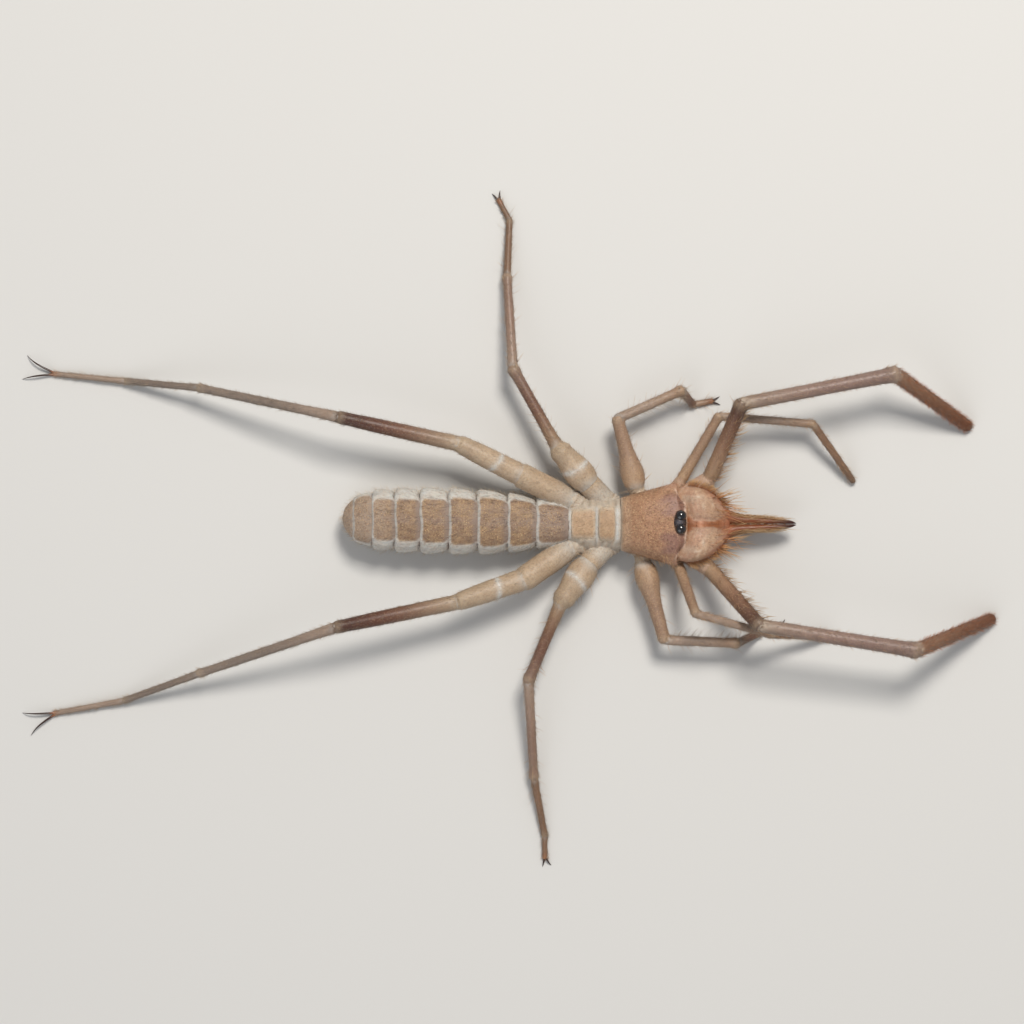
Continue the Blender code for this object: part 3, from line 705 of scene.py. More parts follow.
# Thorax: soft body between head and abdomen, with two plates on its back
THORAX_FLOOR = 1.6
THORAX_MIDDLE = 2.7
THORAX_COLUMNS = 72
BAND_RISE = 0.17
UNDER_HEAD_LEVEL = 2.75
UNDER_HEAD_COLUMNS = 56
PLATE_COLUMNS = 64
BAND_PLACES = (-THORAX_LENGTH + 0.05, -2.72, -0.6)
BAND_WIDTHS = (0.16, 0.14, 0.26)
PLATES = ((-0.98, -2.52, 2.0, 1.78, 5.05), (-3.0, -5.3, 1.72, 1.62, 4.85))


def thorax_bands(x):
    """How much of the three bands of soft skin between the plates there is at each x."""
    return [hump(x, *band) for band in zip(BAND_PLACES, BAND_WIDTHS)]


def thorax():
    """The soft body that the two plates lie on and the legs grow from."""
    x = np.concatenate(((-6.3,), np.linspace(-6.2, 1.2, 90), (1.3,)))[:, None]
    half = through((-6.3, -5.4, -4.2, -2.5, -1.0, 0.2, 1.3), (1.5, 1.95, 2.5, 2.75, 2.7, 2.7, 2.9), x)
    top = 4.62 + 0.12 * smoothstep(-5, -1, x)
    for band in thorax_bands(x):
        top = top + BAND_RISE * band
    ends = np.ones(x.shape)
    ends[[0, -1]] = 0.3
    turn = turns(THORAX_COLUMNS)
    up = np.sin(turn)
    tall = np.where(up > 0, top - THORAX_MIDDLE, THORAX_MIDDLE - THORAX_FLOOR)
    y = half * ends * squared(np.cos(turn), 0.9)
    aside = np.abs(y)
    points = sheet(x, y, THORAX_MIDDLE + tall * ends * squared(up, 0.85))
    fold = 0.06 * np.sin(x * 7 + 1.5 * np.sin(y * 2)) * smoothstep(1.4, 2.1, aside)
    points[..., 1] += fold * np.sign(y)
    points[..., 2] += fold * 0.6 - 0.16 * smoothstep(1.5, 2.3, aside) * (up > 0)
    paleness = 0.2 + 0.25 * ripple(points, 0.8, 5)
    crease = np.sin(x * 9 + 2.5 * aside) * smoothstep(1.5, 1.9, aside) * (up > 0)
    points[..., 2] += 0.03 * crease
    colour = blend(SOFT_WHITE, PALE_TAN, paleness)
    # Painted shade in the troughs of the creases on the sides
    colour = blend(colour, colour * 0.75, 0.5 * np.clip(-crease, 0, 1))
    band = sum(thorax_bands(x)) * fall(1.3, 2.2, aside)
    colour = blend(colour, ICE * 1.08, 0.9 * np.clip(band, 0, 1))
    return Shape("thorax", points, colour, (0.15, 1.0, 0.25))


def under_head():
    """The soft body inside the shield, which closes it from below."""
    x = np.linspace(0.2, 6.1, 40)
    ends = rounded(x, 3.15, 2.98)
    fold = 0.03 * np.sin(5 * x)
    half = through((0.2, 3.0, 6.1), (2.5, 2.75, 2.1), x) * ends + fold
    sizes = (half, 1.05 * ends + fold)
    centres = sheet(x, 0, UNDER_HEAD_LEVEL)
    return tube("under_head", centres, *sizes, PALE_TAN, (0.1, 0.8, 0.25), UNDER_HEAD_COLUMNS)


def thorax_plate(index, front, rear, half_front, half_rear, top):
    """An arched plate with soft edges on the back of the thorax."""
    rows = ((0, 0.12, 6), (0.18, 0.82, 12), (0.88, 1, 6))
    share = np.concatenate([np.linspace(*part) for part in rows])[:, None]
    x = rear + (front - rear) * share
    edge = rounded(share, 0.5, 0.505)
    half = (half_rear + (half_front - half_rear) * share) * (0.84 + 0.16 * edge)
    turn = turns(PLATE_COLUMNS)
    across = squared(np.cos(turn), 0.7)
    up = np.sin(turn)
    tall = (top - HEAD_EDGE) * (0.93 + 0.07 * edge)
    y = half * across
    z = HEAD_EDGE + 0.2 + (tall - 0.2) * np.where(up > 0, np.abs(up) ** 0.6, 0.4 * up)
    bulge = 0.14 * (1 - (y / half_front) ** 2) * (share if index == 0 else share - 0.5)
    points = sheet(x + bulge, y, z)
    colour = layered(
        blend(TAN, PLATE_BROWN, 0.35 + 0.35 * ripple(points, 0.9, 7 + index)),
        (CREAM, 0.9 * smoothstep(0.6, 1.0, np.abs(across))),
        (CREAM, 0.5 * smoothstep(0.38, 0.5, np.abs(share - 0.5))),
    )
    return Shape(f"thorax_plate_{index}", points, colour, (0.55, 0.2, 0.3))


# Abdomen
SEGMENT_SHARES = np.array((0.0, 0.142, 0.268, 0.402, 0.528, 0.654, 0.766, 0.866, 0.953, 1.0))
PLATE_SHARES = (0.74, 0.79, 0.77, 0.72, 0.67, 0.65, 0.68, 0.90, 1.3)
SEGMENT_ROWS = (0.0, 0.02, 0.05, 0.1, 0.17, 0.26, 0.37, 0.48, 0.59, 0.7, 0.8, 0.88, 0.93, 0.965, 0.99)
PROFILE_PLACES = (0.0, 0.14, 0.28, 0.41, 0.54, 0.66, 0.77, 0.866, 0.908, 0.951, 0.976, 0.992, 1.0)
PROFILE_WIDTHS = (0.60, 0.80, 0.93, 0.99, 1.0, 1.0, 0.97, 0.88, 0.78, 0.61, 0.44, 0.25, 0.03)
PROFILE_HEIGHTS = (0.72, 0.87, 0.96, 1.0, 1.0, 1.0, 0.97, 0.87, 0.77, 0.60, 0.42, 0.23, 0.03)
LOBE_DROP = 0.72
REAR_LOBE_DROP = 0.42
ABDOMEN_COLUMNS = 128


def abdomen_profile(share):
    """Half width, height and lowest level of the abdomen at shares of its length."""
    half = ABDOMEN_HALF_WIDTH * through(PROFILE_PLACES, PROFILE_WIDTHS, share)
    tall = ABDOMEN_HEIGHT * through(PROFILE_PLACES, PROFILE_HEIGHTS, share)
    low = ABDOMEN_FLOOR_GAP + 0.5 * fall(0, 0.2, share)
    rear = ABDOMEN_HEIGHT * 0.44 * (1 - through(PROFILE_PLACES, PROFILE_HEIGHTS, share))
    return half, tall, low + rear * smoothstep(0.7, 0.9, share)


def abdomen():
    """Ringed segments, each flaring over the next, with brown plates above and soft pale sides."""
    starts = SEGMENT_SHARES[:-1, None]
    share = (starts + np.diff(SEGMENT_SHARES)[:, None] * SEGMENT_ROWS).reshape(-1, 1)
    part = np.tile(SEGMENT_ROWS, len(starts))[:, None]
    segment = np.repeat(np.arange(len(starts)), len(SEGMENT_ROWS))[:, None]
    last = segment == len(starts) - 1
    half, tall, low = abdomen_profile(share)
    turn = turns(ABDOMEN_COLUMNS, 0.5)
    across = squared(np.cos(turn), 0.85)
    up = squared(np.sin(turn), 0.85)
    corner = 0.10 * fall(0, 0.14, part) + 0.12 * smoothstep(0.8, 0.97, part)
    limit = np.array(PLATE_SHARES)[segment] - (corner - 0.16 * (segment == 0) * (1 - part))
    on_plate = fall(limit - 0.05, limit + 0.05, np.abs(across)) * (up > 0)
    on_belly = fall(0.62, 0.72, np.abs(across)) * (up < 0)
    on_side = np.clip(1 - on_plate - on_belly, 0, 1)
    side = on_side * (1 - 0.85 * last)
    ahead = np.clip(1 - part / 0.62, 0, 1)
    behind = np.clip((part - 0.82) / 0.19, 0, 1)
    lobe = -LOBE_DROP * (1 - np.sqrt(1 - ahead**2))
    lobe = lobe - REAR_LOBE_DROP * (1 - np.sqrt(1 - 0.98 * behind**2))
    lobe = lobe * (half / ABDOMEN_HALF_WIDTH) * (1 - 0.5 * smoothstep(0.75, 0.95, share))
    lobe = lobe * (1 - 0.7 * last)
    collar = 0.07 * smoothstep(0.2, 0.9, part) - 0.13 * smoothstep(0.93, 1.0, part)
    collar = collar * (1 - last)
    outer = smoothstep(0.55, 0.95, np.abs(across))
    x = -THORAX_LENGTH - 0.1 - share * (ABDOMEN_LENGTH + 0.25)
    swing = share * ABDOMEN_LENGTH * math.tan(math.radians(ABDOMEN_SWING))
    y = swing + (half + collar) * across * (1 + lobe * outer / ABDOMEN_HALF_WIDTH)
    lift = (tall / 2 + collar) * up * (1 + 0.4 * lobe * outer / ABDOMEN_HALF_WIDTH)
    points = sheet(x, y, (low + tall / 2) + lift)
    crumple = ripple(points * (1, 2.2, 2.2), 0.8, 11) * side * 0.04
    points[..., 1] += crumple * np.sign(across)
    points[..., 0] += 0.07 * ripple(points, 2.4, 17) * (1 - last)
    patch = ripple(points, 1.1, 13)
    fine = ripple(points, 0.4, 19)
    midline = hump(y, swing, 0.45) + 0.35 * patch
    line = smoothstep(0.89, 0.94, part) * (1 - last)
    plate = layered(
        blend(PLATE_BROWN, PLATE_DARK, np.clip(0.35 + 0.35 * patch + 0.25 * fine, 0, 1)),
        (GREY_MAUVE, 0.45 * np.clip(midline, 0, 1)),
        (GREY_MAUVE * 0.82, 0.8 * fall(0.06, 0.24, part)),
        (PALE_MAUVE, 0.8 * smoothstep(0.72, 0.88, share)),
        (GREY_MAUVE * 0.95, 0.45 * fall(0.1, 0.16, share)),
        (ICE, 0.75 * line),
    )
    pleura = layered(
        blend(WHITE_SIDE, ICE, np.clip(0.4 + 0.4 * patch, 0, 1)),
        (GREY_MAUVE, 0.6 * fall(0.0, 0.12, part)),
        (PINK_TAN * 0.9, last * 0.8),
    )
    belly = blend(PALE_TAN, CREAM, 0.4 + 0.3 * patch)
    colour = plate * on_plate[..., None] + belly * on_belly[..., None] + pleura * on_side[..., None]
    speckle = on_plate * (1 - 0.8 * line) * smoothstep(0.04, 0.24, part)
    return Shape("abdomen", points, colour, sheet(speckle, side, 0.2))


# Chelicerae
HAND_BACK = HEAD_LENGTH - 0.9
HAND_STATIONS = (
    (0.0, 1.98, 1.70, 3.65, 1.22),
    (0.12, 2.00, 1.88, 3.70, 1.48),
    (0.35, 1.96, 1.92, 3.85, 2.05),
    (0.55, 1.81, 1.77, 3.80, 2.08),
    (0.72, 1.56, 1.52, 3.70, 1.80),
    (0.86, 1.25, 1.21, 3.55, 1.34),
    (1.0, 0.80, 0.78, 3.42, 0.78),
)
FINGER_STATIONS = (
    (0.12, 0.56, 0.55, 3.36, 0.60),
    (0.3, 0.43, 0.42, 3.26, 0.50),
    (0.6, 0.32, 0.32, 3.08, 0.40),
    (0.85, 0.22, 0.22, 2.88, 0.28),
    (0.95, 0.15, 0.15, 2.76, 0.18),
    (1.0, 0.08, 0.03, 2.66, 0.03),
)
LOWER_ROOT = HEAD_LENGTH + 0.56 * HAND_LENGTH
LOWER_TIP = FINGER_TIP - 0.5
LOWER_STATIONS = (
    (-0.1, 1.2, 0.3, 1.6, 0.3),
    (0.0, 1.15, 0.62, 1.6, 0.60),
    (0.15, 1.00, 0.62, 1.6, 0.64),
    (0.4, 0.55, 0.40, 1.85, 0.46),
    (0.7, 0.34, 0.28, 2.02, 0.34),
    (0.92, 0.24, 0.18, 2.18, 0.20),
    (1.0, 0.18, 0.02, 2.26, 0.02),
)

# Half widths of the orange wedge that shows between the hands
WEDGE_PLACES = (6.0, 6.6, 7.4, 7.9, 8.5, 9.4, 10.2, 11.0)
WEDGE_WIDTHS = (1.0, 0.95, 0.5, 0.25, 0.3, 0.36, 0.6, 0.9)


def jaw_colour(points):
    """Pink tan hands with painted highlights and shade, orange towards the fingers, then dark red to
    nearly black tips.
    """
    x, y, _ = np.moveaxis(points, -1, 0)
    y = np.abs(y)
    mottle = ripple(points * (1, 1, 0.5), 0.6, 23)
    outer = smoothstep(2.9, 3.9, y + 0.7 * (x - 8.2)) * smoothstep(7.5, 9.0, x)
    wide = through(WEDGE_PLACES, WEDGE_WIDTHS, x)
    wedge = fall(0.7 * wide, 1.2 * wide, y)
    core = np.exp(-((y / 0.3) ** 2) - ((x - 7.05) / 0.28) ** 2)
    # Painted highlight: a pale pink spot on the hands just ahead of the eyes
    painted_highlight = np.exp(-((y / 0.42) ** 2) - ((x - 8.05) / 0.33) ** 2)
    painted_highlight = painted_highlight * (0.8 + 0.2 * np.sin(22 * x + 9 * y))
    # Painted shade: a thin dark line along the groove where the two hands meet
    groove = hump(y, 0, 0.06) * smoothstep(8.2, 8.6, x)
    # Painted highlights: pale cream streaks along the tops of the hands
    highlight_streak = hump(y, 2.75, 0.13) * smoothstep(6.0, 6.3, x) * fall(7.6, 8.4, x)
    low_highlight_streak = hump(y - 0.2 * x, 0.2, 0.07) * smoothstep(7.6, 8.2, x)
    highlight_streak = highlight_streak + 0.6 * low_highlight_streak * fall(9.0, 9.6, x)
    return layered(
        blend(HAND_PINK, TAN, 0.3 + 0.25 * np.sin(x * 2.1 + y)),
        (CREAM, 0.3 * np.clip(mottle, 0, 1)),
        (PINK_TAN * 0.8, 0.35 * np.clip(-mottle, 0, 1)),
        (ORANGE, 0.5 * outer),
        (PINK_TAN * 0.9, 0.65 * fall(0.5, 1.3, y)),
        (WEDGE_BROWN, 0.9 * wedge * fall(9.8, 11.0, x)),
        (ORANGE * 0.35, np.clip(0.7 * core + 0.45 * groove, 0, 1)),
        (PAINTED_HIGHLIGHT, 0.8 * painted_highlight),
        (CREAM, 0.8 * np.clip(highlight_streak, 0, 1)),
        (ORANGE, 0.8 * smoothstep(9.6, 11.2, x - 0.1 * y + 0.25 * mottle)),
        (JAW_RED, smoothstep(10.6, 11.8, x)),
        (JAW_TIP, smoothstep(14.2, 17.9, x)),
    )


HAND_OVERLAP = 0.07
HAND_COLUMNS = 56
LOWER_COLUMNS = 32
BRIDGE_COLUMNS = 48
FINGER_GAP = 0.012


def jaw_part(name, side, stations, at, columns):
    """A part of a chelicera through stations of x, middle, half width, height and half height."""
    rows = through([row[0] for row in stations], stations, at)
    x, middle, half, z, tall = rows.T[..., None]
    turn = turns(columns)
    round_share = smoothstep(8.6, 11.5, x)
    across = squared(np.cos(turn), 0.5 + 0.5 * round_share)
    up = squared(np.sin(turn), 0.58 + 0.42 * round_share)
    y = np.maximum(middle + half * across, FINGER_GAP - HAND_OVERLAP * fall(10.2, 10.9, x))
    z = z + tall * up - 0.12 * hump(y, 0, 0.4) * (up > 0) * (1 - round_share)
    swelling = hump(y, 2.4, 0.9) * smoothstep(6.2, 7.6, x) * fall(8.6, 10.2, x)
    points = sheet(x, side * y, z + 0.1 * swelling * (up > 0))
    marks = sheet(0.5 * fall(10, 12, x), 0.25 * fall(9, 11, x), 0.35 + 0.5 * smoothstep(10, 13, x))
    return Shape(name, points, jaw_colour(points), marks)


def spread_out(stations, first, last):
    """Stations whose shares are places between first and last."""
    return [(first + (last - first) * share, *rest) for share, *rest in stations]


def chelicera(side_name):
    """A hand with its fixed finger, the moving finger below it, and the teeth of both."""
    side = SIDES[side_name]
    front = HEAD_LENGTH + HAND_LENGTH
    upper = spread_out(HAND_STATIONS, HAND_BACK, front)
    upper += spread_out(FINGER_STATIONS, front, FINGER_TIP)
    at = np.concatenate((np.linspace(HAND_BACK, front, 44), np.linspace(front, FINGER_TIP, 50)[1:]))
    parts = [jaw_part(f"chelicera_{side_name}", side, upper, at, HAND_COLUMNS)]
    lower = spread_out(LOWER_STATIONS, LOWER_ROOT, LOWER_TIP)
    at = np.linspace(lower[0][0], LOWER_TIP, 50)
    parts.append(jaw_part(f"lower_finger_{side_name}", side, lower, at, LOWER_COLUMNS))
    return parts + jaw_teeth(side_name)


def jaw_bridge():
    """The soft orange skin between the two hands."""
    x = np.concatenate(((5.55,), np.linspace(5.6, 11.0, 30), (11.05,)))
    sizes = ((1.6, 1.9, 1.5, 0.5), (1.15, 1.6, 1.5, 0.5), (4.0, 4.21, 4.0, 3.42))
    wide, tall, z = (through((5.5, 7.0, 9.0, 11.1), values, x) for values in sizes)
    for radii in (wide, tall):
        radii[[0, -1]] *= 0.3
    centres = sheet(x, 0, z + 0.03 * np.sin(9 * x))
    bridge = tube("jaw_bridge", centres, wide, tall, CREAM, (0.2, 0.3, 0.45), BRIDGE_COLUMNS)
    x, y, _ = bridge.axes
    bridge.points[..., 2] -= 0.05 * hump(y, 0, 0.12) * smoothstep(7.0, 7.6, x)
    bridge.colour = jaw_colour(bridge.points)
    return bridge


# Teeth: the place, length and radius of each
TEETH = (
    *((12.0, 0.42, 0.26), (12.7, 0.30, 0.20), (13.3, 0.36, 0.22)),
    *((14.0, 0.24, 0.18), (14.6, 0.16, 0.14), (15.2, 0.12, 0.12)),
)
TOOTH_SHARES = np.array((0.0, 0.3, 0.6, 0.85, 1.0))
TOOTH_ASIDE = 0.32
TOOTH_LEAN = 0.12
TOOTH_DEPTH = 0.6
TOOTH_COLUMNS = 10
LOWER_TOOTH_AHEAD = 0.3


def jaw_teeth(side_name):
    """Small teeth down from the fixed finger and up from the moving one."""
    teeth = []
    for number, (x, tall, wide) in enumerate(TEETH):
        upper = ("upper", x, 3.0, 2.62 - tall)
        lower = ("lower", x + LOWER_TOOTH_AHEAD, 2.0, 2.3 + tall)
        for which, place, root, tip in (upper, lower):
            z = root + (tip - root) * TOOTH_SHARES
            radius = wide * (1 - TOOTH_SHARES**1.4 * 0.9)
            centres = sheet(place + TOOTH_LEAN * TOOTH_SHARES, SIDES[side_name] * TOOTH_ASIDE, z)
            depth = TOOTH_DEPTH * radius
            points = rings(centres, *np.eye(3)[:2], radius, depth, TOOTH_COLUMNS)
            teeth.append(Shape(f"tooth_{which}_{side_name}_{number}", points, JAW_TIP, (0, 0, 1)))
    return teeth


# Racket organs: five small stalked fans under the base of each fourth leg
RACKETS = 5
RACKET_START = 2.2
RACKET_SPACING = 1.2
RACKET_COLUMNS = 14
RACKET_DROPS = np.array((0.8, 1.4, 1.6, 1.85, 2.1, 2.28, 2.35))
RACKET_WIDTHS = np.array((0.1, 0.1, 0.16, 0.3, 0.42, 0.44, 0.3))
RACKET_DEPTHS = np.array((0.1, 0.1, 0.08, 0.07, 0.07, 0.06, 0.03))


def racket_organs(side_name):
    """The fans under one fourth leg."""
    joints = LEG_4.joints(side_name)
    first_length = np.linalg.norm(joints[1] - joints[0])
    organs = []
    for number in range(RACKETS):
        far = RACKET_START + RACKET_SPACING * number
        first = 0 if far < first_length else 1
        run = unit(joints[first + 1] - joints[first])
        place = joints[first] + run * (far - first * first_length)
        level = run * (1, 1, 0) / np.hypot(run[0], run[1])
        aside = np.array((-level[1], level[0], 0))
        centres = sheet(place[0], place[1], place[2] - RACKET_DROPS)
        points = rings(centres, level, aside, RACKET_WIDTHS, RACKET_DEPTHS, RACKET_COLUMNS)
        organs.append(Shape(f"racket_{side_name}_{number}", points, CREAM, (0, 0.3, 0.4)))
    return organs


def union(name, shapes):
    """One closed skin from overlapping closed shapes, with their colours and marks."""
    objects = [mesh_object(shape.name, shape.flat, shape.faces()) for shape in shapes]
    skin, others = objects[0], objects[1:]
    group = bpy.data.collections.new("skin_parts")
    for other in others:
        group.objects.link(other)
    change = skin.modifiers.new("union", "BOOLEAN")
    change.operation = "UNION"
    change.operand_type = "COLLECTION"
    change.collection = group
    change.solver = "MANIFOLD"
    evaluated = skin.evaluated_get(bpy.context.evaluated_depsgraph_get())
    mesh = bpy.data.meshes.new_from_object(evaluated)
    mesh.materials.clear()
    skin.modifiers.clear()
    skin.data = mesh
    skin.name = name
    mesh.name = name
    for other in others:
        bpy.data.objects.remove(other, do_unlink=True)
    bpy.data.collections.remove(group)
    keep_largest(mesh)
    soften_creases(mesh, shapes)
    copy_paint(mesh, shapes)
    mesh.shade_smooth()
    mesh.set_sharp_from_angle(angle=math.radians(SHARP_ANGLE))
    return skin


def keep_largest(mesh):
    """Keeps only the largest closed surface of a mesh."""
    with opened(mesh) as work:
        left, islands = set(work.faces), []
        while left:
            island, waiting = [], [left.pop()]
            while waiting:
                face = waiting.pop()
                island.append(face)
                near = {other for edge in face.edges for other in edge.link_faces} & left
                left -= near
                waiting += near
            islands.append(island)
        largest = set(max(islands, key=len))
        drop = [face for face in work.faces if face not in largest]
        bmesh.ops.delete(work, geom=drop, context="FACES")
        bmesh.ops.remove_doubles(work, verts=work.verts, dist=SAME_POINT * MM)


def source_tree(shapes):
    """A search tree of every point of shapes, with their numbers."""
    points = np.concatenate([shape.flat for shape in shapes])
    tree = KDTree(len(points))
    for number, point in enumerate(to_frame(points)):
        tree.insert(point, number)
    tree.balance()
    return tree


CREASE_REACH = 0.02
CREASE_ROUNDS = 4
CREASE_LOWEST = 0.05
SAME_POINT = 0.002
SHARP_ANGLE = 50


def soften_creases(mesh, shapes):
    """Evens out the line where two shapes meet, and the points next to it."""
    tree = source_tree(shapes)
    axes = {f"use_axis_{axis}": True for axis in "xyz"}
    with opened(mesh) as work:
        crease = {vertex for vertex in work.verts if tree.find(vertex.co)[2] > CREASE_REACH * MM}
        for _ in range(2):
            crease |= {edge.other_vert(vertex) for vertex in crease for edge in vertex.link_edges}
        crease = [vertex for vertex in crease if vertex.co.z > CREASE_LOWEST * MM]
        crease.sort(key=lambda vertex: vertex.index)
        for _ in range(CREASE_ROUNDS):
            bmesh.ops.smooth_vert(work, verts=crease, factor=0.5, **axes)


def add_layer(mesh, name, colours):
    """A layer that holds a colour at every point of a mesh."""
    layer = mesh.color_attributes.new(name, "FLOAT_COLOR", "POINT")
    full = np.ones((len(colours), 4))
    full[:, :3] = colours
    layer.data.foreach_set("color", full.ravel())


def copy_paint(mesh, shapes):
    """Gives every point of the skin the colour and marks of the nearest point of the shapes."""
    tree = source_tree(shapes)
    nearest = [tree.find(vertex.co)[1] for vertex in mesh.vertices]
    for name, kind in (("paint", "colour"), ("marks", "marks")):
        values = np.concatenate([getattr(shape, kind).reshape(-1, 3) for shape in shapes])
        add_layer(mesh, name, values[nearest])


# Materials
class Nodes:
    """Short ways to add nodes to one material."""

    def __init__(self, name):
        self.material = bpy.data.materials.new(name)
        self.material.use_nodes = True
        self.tree = self.material.node_tree
        self.shader = self.tree.nodes["Principled BSDF"]

    def add(self, kind, **settings):
        """A node with some of its settings."""
        node = self.tree.nodes.new(kind)
        for name, value in settings.items():
            setattr(node, name, value)
        return node

    def attribute(self, name):
        """A colour that the mesh holds at each point."""
        return self.add("ShaderNodeAttribute", attribute_name=name).outputs["Color"]

    def link(self, source, target):
        """Joins an output to an input."""
        self.tree.links.new(source, target)

    def fill(self, node, values):
        """Sets constant values on a node's own inputs."""
        for name, value in values.items():
            node.inputs[name].default_value = value

    def finished(self, colour, values):
        """The material, with the colour linked and constant values on the shader's own inputs."""
        self.link(colour, self.shader.inputs["Base Color"])
        self.fill(self.shader, values)
        return self.material

    def noise(self, scale, detail, roughness=0.55):
        """A noise over the object's own coordinates, as a value about 0.5."""
        node = self.add("ShaderNodeTexNoise")
        self.fill(node, {"Scale": scale, "Detail": detail, "Roughness": roughness})
        self.link(self.place, node.inputs["Vector"])
        return node.outputs["Fac"]

    def grains(self, scale):
        """Small round grains, and a random value for each of them."""
        node = self.add("ShaderNodeTexVoronoi")
        node.inputs["Scale"].default_value = scale
        self.link(self.place, node.inputs["Vector"])
        own = self.add("ShaderNodeSeparateColor")
        self.link(node.outputs["Color"], own.inputs["Color"])
        return self.ramp(node.outputs["Distance"], 0.22, 0.5, 1.0, 0.0), own.outputs["Red"]

    @property
    def place(self):
        """Object coordinates."""
        if not hasattr(self, "coordinates"):
            self.coordinates = self.add("ShaderNodeTexCoord")
        return self.coordinates.outputs["Object"]

    def ramp(self, value, low, high, first=0.0, last=1.0):
        """A value that goes from first to last as the given one goes from low to high."""
        node = self.add("ShaderNodeMapRange", interpolation_type="SMOOTHSTEP")
        self.fill(node, {"From Min": low, "From Max": high, "To Min": first, "To Max": last})
        self.link(value, node.inputs["Value"])
        return node.outputs["Result"]

    def times(self, first, second, operation="MULTIPLY"):
        """Two values, or a value and a number, put together."""
        node = self.add("ShaderNodeMath", operation=operation)
        for value, socket in zip((first, second), node.inputs):
            if isinstance(value, (int, float)):
                socket.default_value = value
            else:
                self.link(value, socket)
        return node.outputs["Value"]

    def mixed(self, share, first, second, kind="MIX"):
        """A mix of two colours by a share."""
        node = self.add("ShaderNodeMix", data_type="RGBA", blend_type=kind)
        sockets = (node.inputs[0], node.inputs[6], node.inputs[7])
        for value, socket in zip((share, first, second), sockets):
            if isinstance(value, (int, float)):
                socket.default_value = value
            elif isinstance(value, np.ndarray):
                socket.default_value = (*value, 1)
            else:
                self.link(value, socket)
        return node.outputs[2]

    def bump(self, height, distance, strength, before=None):
        """A bump of a height, a distance in metres deep."""
        node = self.add("ShaderNodeBump")
        self.fill(node, {"Strength": strength, "Distance": distance})
        self.link(height, node.inputs["Height"])
        if before is not None:
            self.link(before, node.inputs["Normal"])
        return node.outputs["Normal"]


# Sizes of the skin's patterns, in times a metre, and depths of its relief
CLOUDS = 900
DOTS = 5200
GRAINS = 5900
FOLDS = 3000
DULL_SPOTS = 2500
FINE_GRAIN = 7000
GRAIN_DEPTH = 0.03 * MM
DOT_DEPTH = 0.04 * MM
FOLD_DEPTH = 0.16 * MM
CLOUD_BROWN = shade(150, 116, 92)
DOT_BROWN = shade(104, 68, 48)
DOT_GOLD = shade(214, 180, 136)
# Colour of the painted shade in the hollows of the skin's wrinkles
FOLD_SHADE = shade(150, 120, 100)
HAIR_BROWN = shade(150, 110, 70)
EYE_BLACK = shade(10, 8, 10)
EYE_BROWN = shade(26, 16, 18)


def skin_material():
    """Paint from the mesh, with speckles, grain, wrinkles with painted shade in their hollows, and
    sheen over it.
    """
    nodes = Nodes("shell_and_skin")
    paint = nodes.attribute("paint")
    marks = nodes.attribute("marks")
    split = nodes.add("ShaderNodeSeparateColor")
    nodes.link(marks, split.inputs["Color"])
    speckle, wrinkle, gloss = split.outputs
    cloud = nodes.ramp(nodes.noise(CLOUDS, 3), 0.35, 0.68)
    colour = nodes.mixed(nodes.times(cloud, 0.14), paint, CLOUD_BROWN, "MULTIPLY")
    dots = nodes.ramp(nodes.noise(DOTS, 2, 0.6), 0.5, 0.58)
    colour = nodes.mixed(nodes.times(nodes.times(dots, speckle), 0.36), colour, DOT_BROWN)
    grains, chosen = nodes.grains(GRAINS)
    light_dots = nodes.times(nodes.times(grains, nodes.ramp(chosen, 0.3, 0.7)), speckle)
    colour = nodes.mixed(nodes.times(light_dots, 0.5), colour, DOT_GOLD)
    folds = nodes.noise(FOLDS, 5, 0.7)
    # Painted shade in the hollows of the wrinkles, where the fold noise and so the bump are low
    crease_shade = nodes.times(nodes.ramp(folds, 0.38, 0.5, 1.0, 0.0), wrinkle)
    colour = nodes.mixed(nodes.times(crease_shade, 0.25), colour, FOLD_SHADE)
    gloss = nodes.times(gloss, -0.36)
    rough = nodes.times(gloss, nodes.times(nodes.noise(DULL_SPOTS, 2), 0.14), "ADD")
    nodes.link(nodes.times(rough, 0.58, "ADD"), nodes.shader.inputs["Roughness"])
    grain = nodes.bump(nodes.noise(FINE_GRAIN, 3, 0.6), GRAIN_DEPTH, 0.5)
    grain = nodes.bump(light_dots, DOT_DEPTH, 0.8, grain)
    deep = nodes.times(folds, wrinkle)
    nodes.link(nodes.bump(deep, FOLD_DEPTH, 0.7, grain), nodes.shader.inputs["Normal"])
    values = {"Specular IOR Level": 0.45, "Subsurface Weight": 0.08}
    return nodes.finished(colour, values | {"Subsurface Radius": (0.0006, 0.0003, 0.0002)})


def hair_material():
    """Horn-coloured bristles that keep the colour of their root."""
    nodes = Nodes("bristles")
    paint = nodes.attribute("paint")
    colour = nodes.mixed(nodes.times(nodes.noise(1500, 2), 0.3), paint, HAIR_BROWN, "MULTIPLY")
    return nodes.finished(colour, {"Roughness": 0.42, "Sheen Weight": 0.15})


def eye_material():
    """Polished black under a clear coat."""
    nodes = Nodes("eye_black")
    colour = nodes.mixed(nodes.ramp(nodes.noise(1200, 2), 0.4, 0.7), EYE_BLACK, EYE_BROWN)
    return nodes.finished(colour, {"Roughness": 0.09, "Coat Weight": 1.0, "Coat Roughness": 0.03})


def claw_material():
    """Dark glossy horn, paler towards the root."""
    nodes = Nodes("claw_horn")
    paint = nodes.attribute("paint")
    colour = nodes.mixed(nodes.times(nodes.noise(3000, 3), 0.5), paint, CLAW_BROWN * 0.6)
    return nodes.finished(colour, {"Roughness": 0.28})


